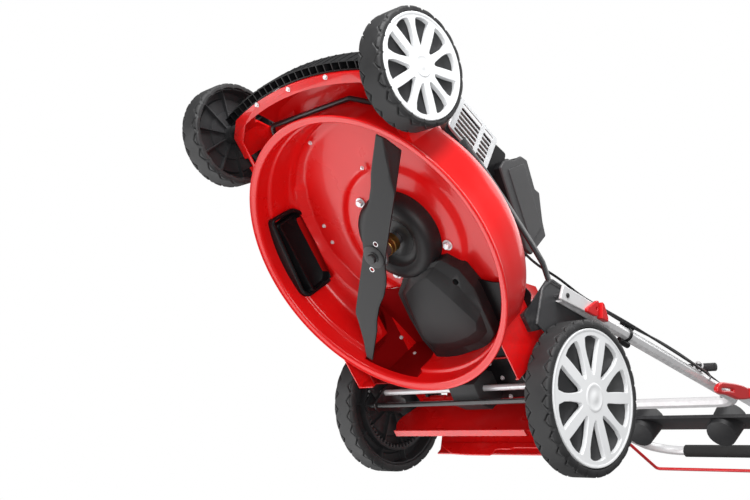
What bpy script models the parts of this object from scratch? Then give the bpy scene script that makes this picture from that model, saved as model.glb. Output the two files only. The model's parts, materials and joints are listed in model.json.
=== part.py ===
"""Self-propelled petrol lawn mower, built as separate pieces in metres, +Z up, front towards -Y.

Everything is laid out in the axle frame: X across the mower, Y = 0 at the rear axle, Z = 0 at the
ground. One root empty then moves the whole mower so that its box is centred over the origin.
"""
import math
import bpy
import bmesh
from mathutils import Matrix, Vector

# Fits and clearances
GAP = 0.0003
PIN_FIT = 0.0003
SHEET = 0.0025

# Wheels
WHEELBASE = 0.668
REAR_TYRE_R = 0.140
FRONT_TYRE_R = 0.0987
REAR_TYRE_W = 0.0526
FRONT_TYRE_W = 0.0496
REAR_FACE_X = 0.273
FRONT_FACE_X = 0.2705
REAR_RIM_R = 0.1252
FRONT_RIM_R = 0.0902
TYRE_SECTIONS = 24
TREAD_SHARE = 0.32
SHOULDER_SHARE = 0.50
BEAD_SHARE = 0.15
RIM_WALL = 0.0034
RIM_SETBACK = 0.0040
RIM_RECESS = 0.0068
HUB_R = 0.019
AXLE_PIN_R = 0.006
RIB_COUNT = 10
RIB_T = 0.0024
RIB_BACK = 0.008
CAP_T = 0.0040
SPOKES = 10
CAP_HUB_SHARE = 0.27

# Deck shell
DECK_Y = -0.375
BOWL_R = 0.268
RIM_FLANGE_W = 0.013
RIM_FLANGE_R = BOWL_R + RIM_FLANGE_W
DECK_BOTTOM = 0.0505
SHOULDER_Z = 0.131
TOP_R = 0.234
CEILING_Z = 0.166
CRANK_HOLE_R = 0.034
BOWL_STEPS = 40
APRON_X = 0.205
APRON_ARC_R = 0.625
APRON_FRONT_Y = -0.721
FRONT_ARC_Y = APRON_FRONT_Y + APRON_ARC_R
BUMPER_DEPTH = 0.018
BUMPER_ARC_R = APRON_ARC_R + BUMPER_DEPTH
APRON_BOTTOM = 0.070
APRON_FLANGE = 0.018
APRON_LIP_TOP = 0.132
APRON_BACK_Y = -0.44
APRON_CORNER = 0.030
APRON_DRAW = 0.93
APRON_RAKE = 0.022
APRON_TOP = 0.1660
RIM_FLANGE_T = 0.003
SKIRT_STEP = 0.004
BELOW_DECK = 0.010
SKIRT_X = 0.205
SKIRT_BACK_Y = -0.1015
SKIRT_FRONT_Y = -0.33
TUNNEL_X = 0.165
TUNNEL_BACK_Y = -0.030
TUNNEL_RAMP_Y = -0.256
TUNNEL_CREST_Y = -0.180
TUNNEL_TOP = 0.250
CHUTE_WINDOW = (0.075, 0.150)
CHUTE_WINDOW_Y = (-0.250, -0.165)
SIDE_PORT_Y = (-0.470, -0.310)
SIDE_PORT_Z = (0.092, 0.158)

# Bumper
BUMPER_X = 0.213
BUMPER_Z = (0.078, 0.118)
BUMPER_RIBS = 30
BUMPER_RIB_D = 0.004

# Side port plug
DOOR_GAP = 0.0008
DOOR_WALL = 0.004
DOOR_CORNER = 0.010
DOOR_DEPTH = 0.030
DOOR_FACE_T = 0.008
DOOR_REACH = 0.008

# Crank, blade and belt drive
CRANK_R = 0.0125
BLADE_L = 0.515
BLADE_W = 0.055
BLADE_NECK_W = 0.046
BLADE_TIP_L = 0.125
BLADE_T = 0.004
BLADE_Z = 0.062
BLADE_ANGLE = math.radians(-50.5)
CARRIER_R = 0.028
CARRIER_H = 0.017
COLLAR_R = 0.019
PULLEY_Z = 0.1375
PULLEY_H = 0.0140
PULLEY_GROOVE_R = 0.030
PULLEY_FLANGE_R = 0.0385
PULLEY_FLANGE_T = 0.0015
BELT_T = 0.0075
GEAR_PULLEY_X = 0.045
GEAR_PULLEY_Y = -0.043
GUARD_FLOOR = 0.121
GUARD_T = 0.0025
GUARD_DOME_R = 0.080
GUARD_STEP = 0.012
GUARD_BEVEL = 0.007
BELT_SIDES = 14
BLADE_BOLT_R = 0.0048
INPUT_FOOT_Z = 0.1203
INPUT_R = 0.006

# Rear axle, drive shaft and gears
DRIVE_Y = -0.060
DRIVE_Z = 0.096
DRIVE_R = 0.006
CROSS_ROD_Y = -0.052
CROSS_ROD_Z = 0.062
CROSS_ROD_R = 0.005
ARM_X = (0.2135, 0.2175)
ARM_BOSS_R = 0.015
PINION_TEETH = 8
RING_TEETH = 56
TOOTH_SHARE = 0.40
TOOTH_ADD = 0.85
TOOTH_DED = 1.15
RING_BACK_R = 0.0965
PINION_W = 0.0105
LEVER_X = (-0.1915, -0.1865)
LEVER_L = 0.215
LEVER_FOOT_R = 0.011
AXLE_PLATE_X = (0.1990, 0.2015)
BUSH_WALL = 0.004

# Front axle
FRONT_PIVOT_Y = -0.612
FRONT_PIVOT_Z = 0.122
FRONT_ROD_R = 0.005
FRONT_ROD_OUT_Y = -0.655
FRONT_ARM_X = (0.2105, 0.2165)
FRONT_LEVER_L = 0.125
SADDLE_X = (0.172, 0.181)

# Engine
ENGINE_BASE_R = 0.112
ENGINE_BOLT_CIRCLE = 0.1016
ENGINE_BOLT_ANGLES = (24.0, 127.0, 230.0)
ENGINE_BASE_T = 0.011
CASE_R = 0.094
CASE_TOP = 0.2555
SHROUD_TOP = 0.372
BLOWER_X = 0.105
STARTER_R = 0.088
STARTER_TOP = 0.412
STARTER_SLOTS = 10
FIN_COUNT = 5
FIN_STEP = 0.014
FIN_START_Y = -0.484
BLOWER_Y = (-0.520, -0.262)
TANK_NECK = (-0.045, -0.230)
OIL_FILLER = ((-0.062, -0.430, 0.198), (-0.160, -0.470, 0.270))
OIL_FILLER_R = 0.011
MUFFLER_X = (0.124, 0.150)
MUFFLER_TILT = math.radians(22)
MUFFLER_CENTRE = (-0.494, 0.279)
GUARD_STANDOFF = 0.012

# Handle
TUBE_R = 0.0125
LOWER_X = 0.2275
UPPER_X = 0.2535
BRACKET_X = (0.2115, 0.2145)
PIVOT_Y = -0.165
PIVOT_Z = 0.226
HANDLE_ANGLE = math.radians(38.5)
JOINT_S = 0.632
LOWER_END_S = 0.690
UPPER_START_S = 0.596
UPPER_END_S = 1.170
LOCK_S = 0.080
CROSS_BEND_R = 0.048
GRIP_BEND_R = 0.085
BAIL_R = 0.0045
BAIL_PIVOT_S = 0.985
TRAY_S = 0.860
TRAY_D = 0.105
CUP_X = 0.112
CUP_R = 0.040
CUP_WALL = 0.0025
CUP_TAPER = 0.90
CUP_STEPS = 20
CUP_DEPTH = 0.072
CLAMP_R = 0.004
CLAMP_HEAD_R = 0.0085
CLAMP_HEAD_T = 0.0037
CLAMP_HOLE_R = 0.0045
CAM_R = 0.0080
CAM_W = 0.018
CAM_PIN_R = 0.0022
CAM_L = 0.062
LOCK_ARM_L = 0.046
LOCK_ARM_DROP = math.radians(8)
SLEEVE_T = 0.0045
GUIDE_S = 0.500
GUIDE_R = 0.010
GUIDE_WIRE_R = 0.002
PULL_R = 0.009
PULL_L = 0.066
PULL_STEM_R = 0.0042

# Brackets, rails and rear covers
SKIRT_FOOT_Z = 0.128
RAIL_W = 0.013
RAIL_LINE = (
    (-0.500, 0.190), (-0.440, 0.206), (-0.360, 0.224), (-0.280, 0.240), (-0.230, 0.247), (-0.185, 0.240),
)
FLAP_HINGE = (-0.024, 0.262)
FLAP_FOOT = (0.118, 0.128)
FLAP_X = 0.163
SHIELD_HINGE = (0.006, 0.168)
SHIELD_FOOT_Z = 0.050
SHIELD_X = 0.172
FLAP_PIN_R = 0.003
SHIELD_PIN_R = 0.0025

FRONT_REACH = -(WHEELBASE + FRONT_TYRE_R)
GRIP_S = UPPER_END_S - TUBE_R / math.cos(HANDLE_ANGLE)
REAR_REACH = PIVOT_Y + GRIP_S * math.cos(HANDLE_ANGLE) + TUBE_R + SLEEVE_T
FRAME_SHIFT_Y = -(FRONT_REACH + REAR_REACH) / 2

DECK_TOP = CEILING_Z + SHEET
SADDLE_TOP = APRON_TOP - SHEET / 2
LOCK_PIN_X = LOWER_X + TUBE_R + GAP + CAM_R
REAR_HUB = Vector((0, 0, REAR_TYRE_R))
FRONT_HUB = Vector((0, -WHEELBASE, FRONT_TYRE_R))
DRIVE_AXIS = Vector((0, DRIVE_Y, DRIVE_Z))
FRONT_PIVOT = Vector((0, FRONT_PIVOT_Y, FRONT_PIVOT_Z))

RED = (0.78, 0.016, 0.020)
BLACK = (0.020, 0.021, 0.023)
DARK_GREY = (0.055, 0.057, 0.062)
SILVER = (0.72, 0.73, 0.75)
STEEL = (0.45, 0.46, 0.48)
LIGHT_GREY = (0.62, 0.62, 0.63)

for old in list(bpy.data.objects):
    bpy.data.objects.remove(old, do_unlink=True)

mower = bpy.data.collections.new("lawn_mower")
cutters = bpy.data.collections.new("cutters")
bpy.context.scene.collection.children.link(mower)
bpy.context.scene.collection.children.link(cutters)

root = bpy.data.objects.new("mower_frame", None)
root.location = (0, FRAME_SHIFT_Y, 0)
mower.objects.link(root)


def finish(name, color, roughness=0.4, metallic=0.0):
    """A Principled material in the part's own colour."""
    mat = bpy.data.materials.new(name)
    mat.use_nodes = True
    shader = mat.node_tree.nodes["Principled BSDF"]
    shader.inputs["Base Color"].default_value = (*color, 1.0)
    shader.inputs["Roughness"].default_value = roughness
    shader.inputs["Metallic"].default_value = metallic
    return mat


def new_object(name, mesh):
    """An object in the mower's collection, carried by the root empty."""
    obj = bpy.data.objects.new(name, mesh)
    mower.objects.link(obj)
    obj.parent = root
    return obj


def as_cutter(obj):
    """Turns a shape into a tool for Booleans."""
    mower.objects.unlink(obj)
    cutters.objects.link(obj)
    obj.hide_render = True
    obj.display_type = "WIRE"
    return obj


def boolean(obj, tool, operation="DIFFERENCE"):
    mod = obj.modifiers.new(operation.lower(), "BOOLEAN")
    mod.operation = operation
    mod.solver = "EXACT"
    mod.object = as_cutter(tool)
    return obj


def cut(obj, tool):
    return boolean(obj, tool, "DIFFERENCE")


def join(obj, tool):
    return boolean(obj, tool, "UNION")


def paint(obj, color, roughness=0.4, metallic=0.0):
    obj.data.materials.clear()
    obj.data.materials.append(finish(obj.name, color, roughness, metallic))
    return obj


def pivot_at(obj, point):
    """Moves an object's origin to a joint axis and leaves its shape where it is."""
    point = Vector(point)
    obj.data.transform(Matrix.Translation(-point) @ obj.matrix_basis)
    obj.matrix_basis = Matrix.Translation(point)
    return obj


def box(name, low, high):
    """A box between two corners."""
    low, high = Vector(low), Vector(high)
    bm = bmesh.new()
    size = high - low
    bmesh.ops.create_cube(bm, size=1.0, matrix=Matrix.Diagonal((*size, 1.0)))
    mesh = bpy.data.meshes.new(name)
    bm.to_mesh(mesh)
    bm.free()
    obj = new_object(name, mesh)
    obj.location = (low + high) / 2
    return obj


def turn_to(axis):
    """The rotation that stands the local Z axis along a world axis."""
    return Vector(axis).to_track_quat("Z", "Y").to_matrix().to_4x4()


def rod(name, start, end, radius, sides=16):
    """A round rod between two points."""
    start, end = Vector(start), Vector(end)
    along = end - start
    bm = bmesh.new()
    bmesh.ops.create_cone(
        bm, cap_ends=True, segments=sides, radius1=radius, radius2=radius, depth=along.length
    )
    bm.transform(Matrix.Translation((start + end) / 2) @ turn_to(along))
    mesh = bpy.data.meshes.new(name)
    bm.to_mesh(mesh)
    bm.free()
    return new_object(name, mesh)


def turned(name, profile, centre=(0, 0, 0), axis=(0, 0, 1), steps=24, closed=True):
    """A turned piece: (radius, height) points down the outer side, swept about an axis."""
    mesh = bpy.data.meshes.new(name)
    edges = [(i, i + 1) for i in range(len(profile) - 1)]
    if closed:
        edges.append((len(profile) - 1, 0))
    mesh.from_pydata([(r, 0, h) for r, h in profile], edges, [])
    obj = new_object(name, mesh)
    obj.matrix_basis = Matrix.Translation(centre) @ turn_to(axis)
    screw = obj.modifiers.new("screw", "SCREW")
    screw.steps = steps
    screw.render_steps = steps
    screw.use_merge_vertices = True
    screw.merge_threshold = 0.00002
    return obj


def prism(name, outline, low, high, plane="XY", holes=()):
    """A flat outline, with holes, extruded between two levels along the plane's normal."""
    curve = bpy.data.curves.new(name, "CURVE")
    curve.dimensions = "2D"
    curve.fill_mode = "BOTH"
    curve.extrude = (high - low) / 2
    for ring in (outline, *holes):
        spline = curve.splines.new("POLY")
        spline.points.add(len(ring) - 1)
        for point, (u, v) in zip(spline.points, ring):
            point.co = (u, v, 0, 1)
        spline.use_cyclic_u = True
    middle = (low + high) / 2
    if plane == "XY":
        place = Matrix.Translation((0, 0, middle))
    elif plane == "YZ":
        place = Matrix(((0, 0, 1, middle), (1, 0, 0, 0), (0, 1, 0, 0), (0, 0, 0, 1)))
    else:
        place = Matrix(((1, 0, 0, 0), (0, 0, -1, -middle), (0, 1, 0, 0), (0, 0, 0, 1)))
    return meshed(name, curve, place)


def meshed(name, curve, place=Matrix.Identity(4)):
    """A curve object turned into a mesh object with welded caps."""
    source = bpy.data.objects.new(name + "_curve", curve)
    mower.objects.link(source)
    graph = bpy.context.evaluated_depsgraph_get()
    mesh = bpy.data.meshes.new_from_object(source.evaluated_get(graph))
    bm = bmesh.new()
    bm.from_mesh(mesh)
    bmesh.ops.remove_doubles(bm, verts=bm.verts, dist=0.00002)
    bmesh.ops.recalc_face_normals(bm, faces=bm.faces)
    bm.to_mesh(mesh)
    bm.free()
    mesh.transform(place)
    bpy.data.objects.remove(source, do_unlink=True)
    return new_object(name, mesh)


def tube(name, points, radius, resolution=2):
    """A round bar or cable along a list of points."""
    curve = bpy.data.curves.new(name, "CURVE")
    curve.dimensions = "3D"
    curve.bevel_depth = radius
    curve.bevel_resolution = resolution
    curve.use_fill_caps = True
    spline = curve.splines.new("POLY")
    spline.points.add(len(points) - 1)
    for point, place in zip(spline.points, points):
        point.co = (*place, 1)
    return meshed(name, curve)


def loft(name, sections):
    """A closed solid through rings of equally many points, listed from low to high."""
    bm = bmesh.new()
    rings = [[bm.verts.new(point) for point in section] for section in sections]
    count = len(rings[0])
    for lower, upper in zip(rings, rings[1:]):
        for i in range(count):
            j = (i + 1) % count
            bm.faces.new((lower[i], lower[j], upper[j], upper[i]))
    bm.faces.new(list(reversed(rings[0])))
    bm.faces.new(rings[-1])
    bmesh.ops.recalc_face_normals(bm, faces=bm.faces)
    mesh = bpy.data.meshes.new(name)
    bm.to_mesh(mesh)
    bm.free()
    return new_object(name, mesh)


def arc(cx, cy, radius, start, end, count):
    """Points on an arc, angles in degrees."""
    span = math.radians(end - start)
    first = math.radians(start)
    return [
        (cx + radius * math.cos(first + span * i / count), cy + radius * math.sin(first + span * i / count))
        for i in range(count + 1)
    ]


def ring_points(radius, count, cx=0.0, cy=0.0):
    return arc(cx, cy, radius, 0, 360, count)[:-1]


def rounded_box(x0, x1, y0, y1, radius, count=3):
    """A rectangle's outline with round corners."""
    return (
        arc(x1 - radius, y0 + radius, radius, -90, 0, count)
        + arc(x1 - radius, y1 - radius, radius, 0, 90, count)
        + arc(x0 + radius, y1 - radius, radius, 90, 180, count)
        + arc(x0 + radius, y0 + radius, radius, 180, 270, count)
    )


def level(outline, z):
    return [(x, y, z) for x, y in outline]


def fillet_path(corners, radius, count=5):
    """A path with its inner corners rounded to a bend radius."""
    path = [Vector(corners[0])]
    for before, corner, after in zip(corners, corners[1:], corners[2:]):
        corner = Vector(corner)
        back = (Vector(before) - corner).normalized()
        ahead = (Vector(after) - corner).normalized()
        half = back.angle(ahead) / 2
        reach = radius / math.tan(half)
        start = corner + back * reach
        end = corner + ahead * reach
        centre = corner + (back + ahead).normalized() * (radius / math.sin(half))
        for i in range(count + 1):
            blend = (start - centre).lerp(end - centre, i / count)
            path.append(centre + blend.normalized() * radius)
    path.append(Vector(corners[-1]))
    return path


def handle_point(x, s, lift=0.0):
    """A point on the handle: s along the tubes from their pivot, lift out of their plane."""
    along = Vector((0, math.cos(HANDLE_ANGLE), math.sin(HANDLE_ANGLE)))
    normal = Vector((0, -math.sin(HANDLE_ANGLE), math.cos(HANDLE_ANGLE)))
    return Vector((x, PIVOT_Y, PIVOT_Z)) + along * s + normal * lift


# Wheels


def tyre_section(width, radius, rim_r, shift):
    """A tyre's cross-section as (across, radius); shift is the side whose shoulder is notched."""
    half = width / 2
    rubber = radius - rim_r
    drop = rubber * SHOULDER_SHARE
    bead = rim_r + rubber * BEAD_SHARE
    left_cut = rubber * TREAD_SHARE if shift < 0 else 0
    right_cut = rubber * TREAD_SHARE if shift > 0 else 0
    return [
        (-half * 0.86, rim_r),
        (half * 0.86, rim_r),
        (half, bead),
        (half - right_cut * 0.5, radius - drop - right_cut * 0.3),
        (half * 0.70, radius - 0.0015 - right_cut),
        (half * 0.28, radius),
        (-half * 0.28, radius),
        (-half * 0.70, radius - 0.0015 - left_cut),
        (-half + left_cut * 0.5, radius - drop - left_cut * 0.3),
        (-half, bead),
    ]


def make_tyre(name, hub, width, radius, rim_r):
    """A rubber tyre with notches that alternate between its two shoulders."""
    bm = bmesh.new()
    rings = []
    for i in range(TYRE_SECTIONS):
        angle = 2 * math.pi * i / TYRE_SECTIONS - math.pi / 2
        section = tyre_section(width, radius, rim_r, -1 if i % 2 else 1)
        rings.append(
            [bm.verts.new((x, r * math.cos(angle), r * math.sin(angle))) for x, r in section]
        )
    for i, ring in enumerate(rings):
        after = rings[(i + 1) % TYRE_SECTIONS]
        for k in range(len(ring)):
            m = (k + 1) % len(ring)
            bm.faces.new((ring[k], ring[m], after[m], after[k]))
    bmesh.ops.recalc_face_normals(bm, faces=bm.faces)
    mesh = bpy.data.meshes.new(name)
    bm.to_mesh(mesh)
    bm.free()
    obj = new_object(name, mesh)
    obj.location = hub
    return paint(obj, BLACK, 0.75)


def make_rim(name, hub, side, width, rim_r):
    """A black wheel body: barrel, dished web, ribs and hub."""
    half = width / 2
    outer = rim_r - GAP
    inner = outer - RIM_WALL
    face = half - RIM_SETBACK - CAP_T
    web = face - 0.003
    sink = web - RIM_RECESS
    back = -half + RIM_SETBACK
    bore = AXLE_PIN_R + PIN_FIT
    profile = [
        (bore, sink + 0.006),
        (HUB_R, sink + 0.003),
        (outer, face),
        (outer, back),
        (inner, back),
        (inner, web),
        (HUB_R, sink),
        (HUB_R, back),
        (bore, back),
    ]
    obj = turned(name, profile, hub, (side, 0, 0), steps=TYRE_SECTIONS)
    rib = [
        (HUB_R - 0.001, -RIB_BACK),
        (inner + 0.001, -RIB_BACK),
        (inner + 0.001, web + 0.001),
        (HUB_R - 0.001, sink + 0.001),
    ]
    star = bmesh.new()
    for i in range(RIB_COUNT):
        turn = Matrix.Rotation(2 * math.pi * (i + 0.5) / RIB_COUNT, 4, "Z")
        rings = []
        for offset in (-RIB_T / 2, RIB_T / 2):
            rings.append([star.verts.new(turn @ Vector((r, offset, h))) for r, h in rib])
        star.faces.new(list(reversed(rings[0])))
        star.faces.new(rings[1])
        for k in range(len(rib)):
            m = (k + 1) % len(rib)
            star.faces.new((rings[0][k], rings[0][m], rings[1][m], rings[1][k]))
    bmesh.ops.recalc_face_normals(star, faces=star.faces)
    mesh = bpy.data.meshes.new(name + "_ribs")
    star.to_mesh(mesh)
    star.free()
    ribs = new_object(name + "_ribs", mesh)
    ribs.matrix_basis = Matrix.Translation(hub) @ turn_to((side, 0, 0))
    join(obj, ribs)
    if hub.y == REAR_HUB.y:
        join(obj, ring_gear(name + "_ring_gear", side))
    return paint(obj, BLACK, 0.5)


def make_hubcap(name, hub, side, width, rim_r):
    """A silver cap with ten spokes between teardrop windows."""
    half = width / 2
    radius = rim_r - 2 * GAP
    low = half - RIM_SETBACK - CAP_T + GAP
    high = low + CAP_T - GAP
    step = 2 * math.pi / SPOKES
    windows = []
    for i in range(SPOKES):
        middle = step * (i + 0.5)
        narrow = radius * (CAP_HUB_SHARE + 0.10)
        wide = radius * 0.90
        shape = [
            (narrow, 0.0),
            (radius * 0.60, -0.20 * step),
            (wide, -0.24 * step),
            (wide, 0.24 * step),
            (radius * 0.60, 0.20 * step),
        ]
        windows.append([(r * math.cos(middle + a), r * math.sin(middle + a)) for r, a in shape])
    obj = prism(name, ring_points(radius, TYRE_SECTIONS), low, high, "XY", windows)
    obj.matrix_basis = Matrix.Translation(hub) @ turn_to((side, 0, 0))
    return paint(obj, SILVER, 0.3, 0.6)


def make_wheel(prefix, hub, side, width, radius, rim_r, face_x):
    centre = Vector((side * (face_x - width / 2), hub.y, hub.z))
    make_tyre(prefix + "_tyre", centre, width, radius, rim_r)
    make_rim(prefix + "_rim", centre, side, width, rim_r)
    make_hubcap(prefix + "_hubcap", centre, side, width, rim_r)


def gear_outline(teeth, pitch_r, add, ded, share):
    """A gear's outline: straight-sided teeth, narrower at their tips."""
    points = []
    step = 2 * math.pi / teeth
    for i in range(teeth):
        middle = step * i
        root_half = step * share * 0.62
        tip_half = step * share * 0.34
        for radius, angle in (
            (pitch_r - ded, middle - root_half),
            (pitch_r + add, middle - tip_half),
            (pitch_r + add, middle + tip_half),
            (pitch_r - ded, middle + root_half),
        ):
            points.append((radius * math.cos(angle), radius * math.sin(angle)))
    return points


def swing_radius():
    """Distance between the drive shaft and the rear hub."""
    return math.hypot(REAR_HUB.y - DRIVE_Y, REAR_HUB.z - DRIVE_Z)


def gear_module():
    return 2 * swing_radius() / (RING_TEETH - PINION_TEETH)


def ring_gear(name, side):
    """The internal gear that is moulded on a rear wheel's ribs."""
    module = gear_module()
    pitch_r = module * RING_TEETH / 2
    outline = ring_points(RING_BACK_R, TYRE_SECTIONS)
    teeth = gear_outline(RING_TEETH, pitch_r, TOOTH_DED * module, TOOTH_ADD * module, 1 - TOOTH_SHARE)
    back = -REAR_TYRE_W / 2 + RIM_SETBACK
    obj = prism(name, outline, back, -RIB_BACK + 0.001, "XY", [teeth])
    centre = Vector((side * (REAR_FACE_X - REAR_TYRE_W / 2), REAR_HUB.y, REAR_HUB.z))
    obj.matrix_basis = Matrix.Translation(centre) @ gear_turn(side, mesh_angle())
    return obj


def mesh_angle():
    """Direction from the rear hub to the drive shaft, where the gears mesh."""
    return math.atan2(DRIVE_Z - REAR_HUB.z, DRIVE_Y - REAR_HUB.y)


def gear_turn(side, toward):
    """Stands a gear's axis along X with its first tooth towards an angle in the YZ plane."""
    first = Vector((0, math.cos(toward), math.sin(toward)))
    axis = Vector((side, 0, 0))
    third = axis.cross(first)
    return Matrix((
        (first.x, third.x, axis.x, 0),
        (first.y, third.y, axis.y, 0),
        (first.z, third.z, axis.z, 0),
        (0, 0, 0, 1),
    ))


def make_drive_shaft():
    """The drive shaft with a pinion on each end, in mesh with the wheels' ring gears."""
    low = REAR_FACE_X - REAR_TYRE_W + RIM_SETBACK
    high = low + PINION_W
    shaft = rod("drive_shaft", (-high, DRIVE_Y, DRIVE_Z), (high, DRIVE_Y, DRIVE_Z), DRIVE_R, 16)
    module = gear_module()
    pitch_r = module * PINION_TEETH / 2
    for side in (1, -1):
        outline = gear_outline(PINION_TEETH, pitch_r, TOOTH_ADD * module, TOOTH_DED * module, TOOTH_SHARE)
        pinion = prism("pinion_%d" % side, outline, low, high - 0.001, "XY")
        pinion.matrix_basis = Matrix.Translation(DRIVE_AXIS) @ gear_turn(side, mesh_angle())
        join(shaft, pinion)
    pivot_at(shaft, DRIVE_AXIS)
    return paint(shaft, STEEL, 0.35, 0.9)


def make_rear_axle():
    """Two swing arms with stub axles, the cross rod that ties them and the height lever."""
    low, high = ARM_X
    base = None
    for side in (1, -1):
        x0, x1 = sorted((side * low, side * high))
        outline = hull_outline(
            [(DRIVE_Y, DRIVE_Z), (REAR_HUB.y, REAR_HUB.z), (CROSS_ROD_Y, CROSS_ROD_Z)],
            [ARM_BOSS_R, ARM_BOSS_R, 0.010],
        )
        hole = ring_points(DRIVE_R + BUSH_WALL + PIN_FIT, 16, DRIVE_Y, DRIVE_Z)
        arm = prism("rear_axle" if side > 0 else "rear_arm_b", outline, x0, x1, "YZ", [hole])
        hub_x = side * (REAR_FACE_X - RIM_SETBACK - CAP_T - RIM_RECESS)
        stub = rod(
            "stub" + str(side), (side * (low + 0.001), 0, REAR_HUB.z), (hub_x, 0, REAR_HUB.z), AXLE_PIN_R, 16
        )
        if base is None:
            base = arm
        else:
            join(base, arm)
        join(base, stub)
    reach = low + 0.001
    cross = rod(
        "cross_rod", (-reach, CROSS_ROD_Y, CROSS_ROD_Z), (reach, CROSS_ROD_Y, CROSS_ROD_Z), CROSS_ROD_R, 12
    )
    join(base, cross)
    pivot_at(base, DRIVE_AXIS)
    return paint(base, BLACK, 0.45, 0.3)


def hull_outline(centres, radii, count=8):
    """The outline of a belt drawn round several circles: their convex hull."""
    points = []
    for (cy, cz), radius in zip(centres, radii):
        points += ring_points(radius, count * 2, cy, cz)
    points = sorted(set(points))

    def chain(source):
        out = []
        for p in source:
            while len(out) > 1 and turn(out[-2], out[-1], p) <= 1e-12:
                out.pop()
            out.append(p)
        return out[:-1]

    return chain(points) + chain(reversed(points))


def turn(a, b, c):
    return (b[0] - a[0]) * (c[1] - a[1]) - (b[1] - a[1]) * (c[0] - a[0])


def make_axle_bearings():
    """The drive shaft's two brackets with their bushings, on the deck's rear wall."""
    inner, outer = AXLE_PLATE_X
    end = ARM_X[1] + 0.001
    for side, word in ((1, "left"), (-1, "right")):
        x0, x1 = sorted((side * inner, side * outer))
        outline = [
            (SKIRT_BACK_Y + GAP, 0.070), (DRIVE_Y + 0.014, 0.078), (DRIVE_Y + 0.022, 0.104),
            (DRIVE_Y + 0.010, 0.150), (SKIRT_BACK_Y + GAP, 0.164),
        ]
        name = "axle_bearing_" + word
        bearing = prism(name, outline, x0, x1, "YZ")
        start, stop = Vector((side * inner, DRIVE_Y, DRIVE_Z)), Vector((side * end, DRIVE_Y, DRIVE_Z))
        join(bearing, rod(name + "_sleeve", start, stop, DRIVE_R + BUSH_WALL, 16))
        over = Vector((side * 0.01, 0, 0))
        cut(bearing, rod(name + "_bore", start - over, stop + over, DRIVE_R + PIN_FIT, 16))
        paint(bearing, BLACK, 0.5)


def join_saddles(deck):
    """The two saddles under the apron that carry the front rod."""
    y, z = FRONT_PIVOT_Y, FRONT_PIVOT_Z
    for side in (1, -1):
        x0, x1 = sorted((side * SADDLE_X[0], side * SADDLE_X[1]))
        outline = [(y - 0.014, 0.108), (y + 0.014, 0.108), (y + 0.014, SADDLE_TOP), (y - 0.014, SADDLE_TOP)]
        hole = ring_points(FRONT_ROD_R + PIN_FIT, 12, y, z)
        join(deck, prism("saddle_%d" % side, outline, x0, x1, "YZ", [hole]))


# Deck


def bowl_profile(wall):
    """The bowl's inner line as (radius, z), moved outwards by a wall share."""
    return [
        (TOP_R + wall * 0.41, CEILING_Z + wall),
        (BOWL_R + wall, SHOULDER_Z + wall * 0.41),
        (BOWL_R + wall, DECK_BOTTOM),
    ]


def bowl_solid(name, wall, bottom):
    """The bowl's space as one filled turned body."""
    top, shoulder, foot = bowl_profile(wall)
    profile = [(0, top[1]), top, shoulder, (foot[0], bottom), (0, bottom)]
    return turned(name, profile, (0, DECK_Y, 0), steps=BOWL_STEPS, closed=False)


def front_outline(side_x, arc_r, back_y, corner):
    """The apron's plan: straight sides and a bowed front edge."""
    half = math.degrees(math.asin((side_x - corner) / arc_r))
    front = arc(0, FRONT_ARC_Y, arc_r, -90 - half, -90 + half, 12)
    return front + [
        (side_x, front[-1][1] + corner), (side_x, back_y), (-side_x, back_y), (-side_x, front[0][1] + corner)
    ]


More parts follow.
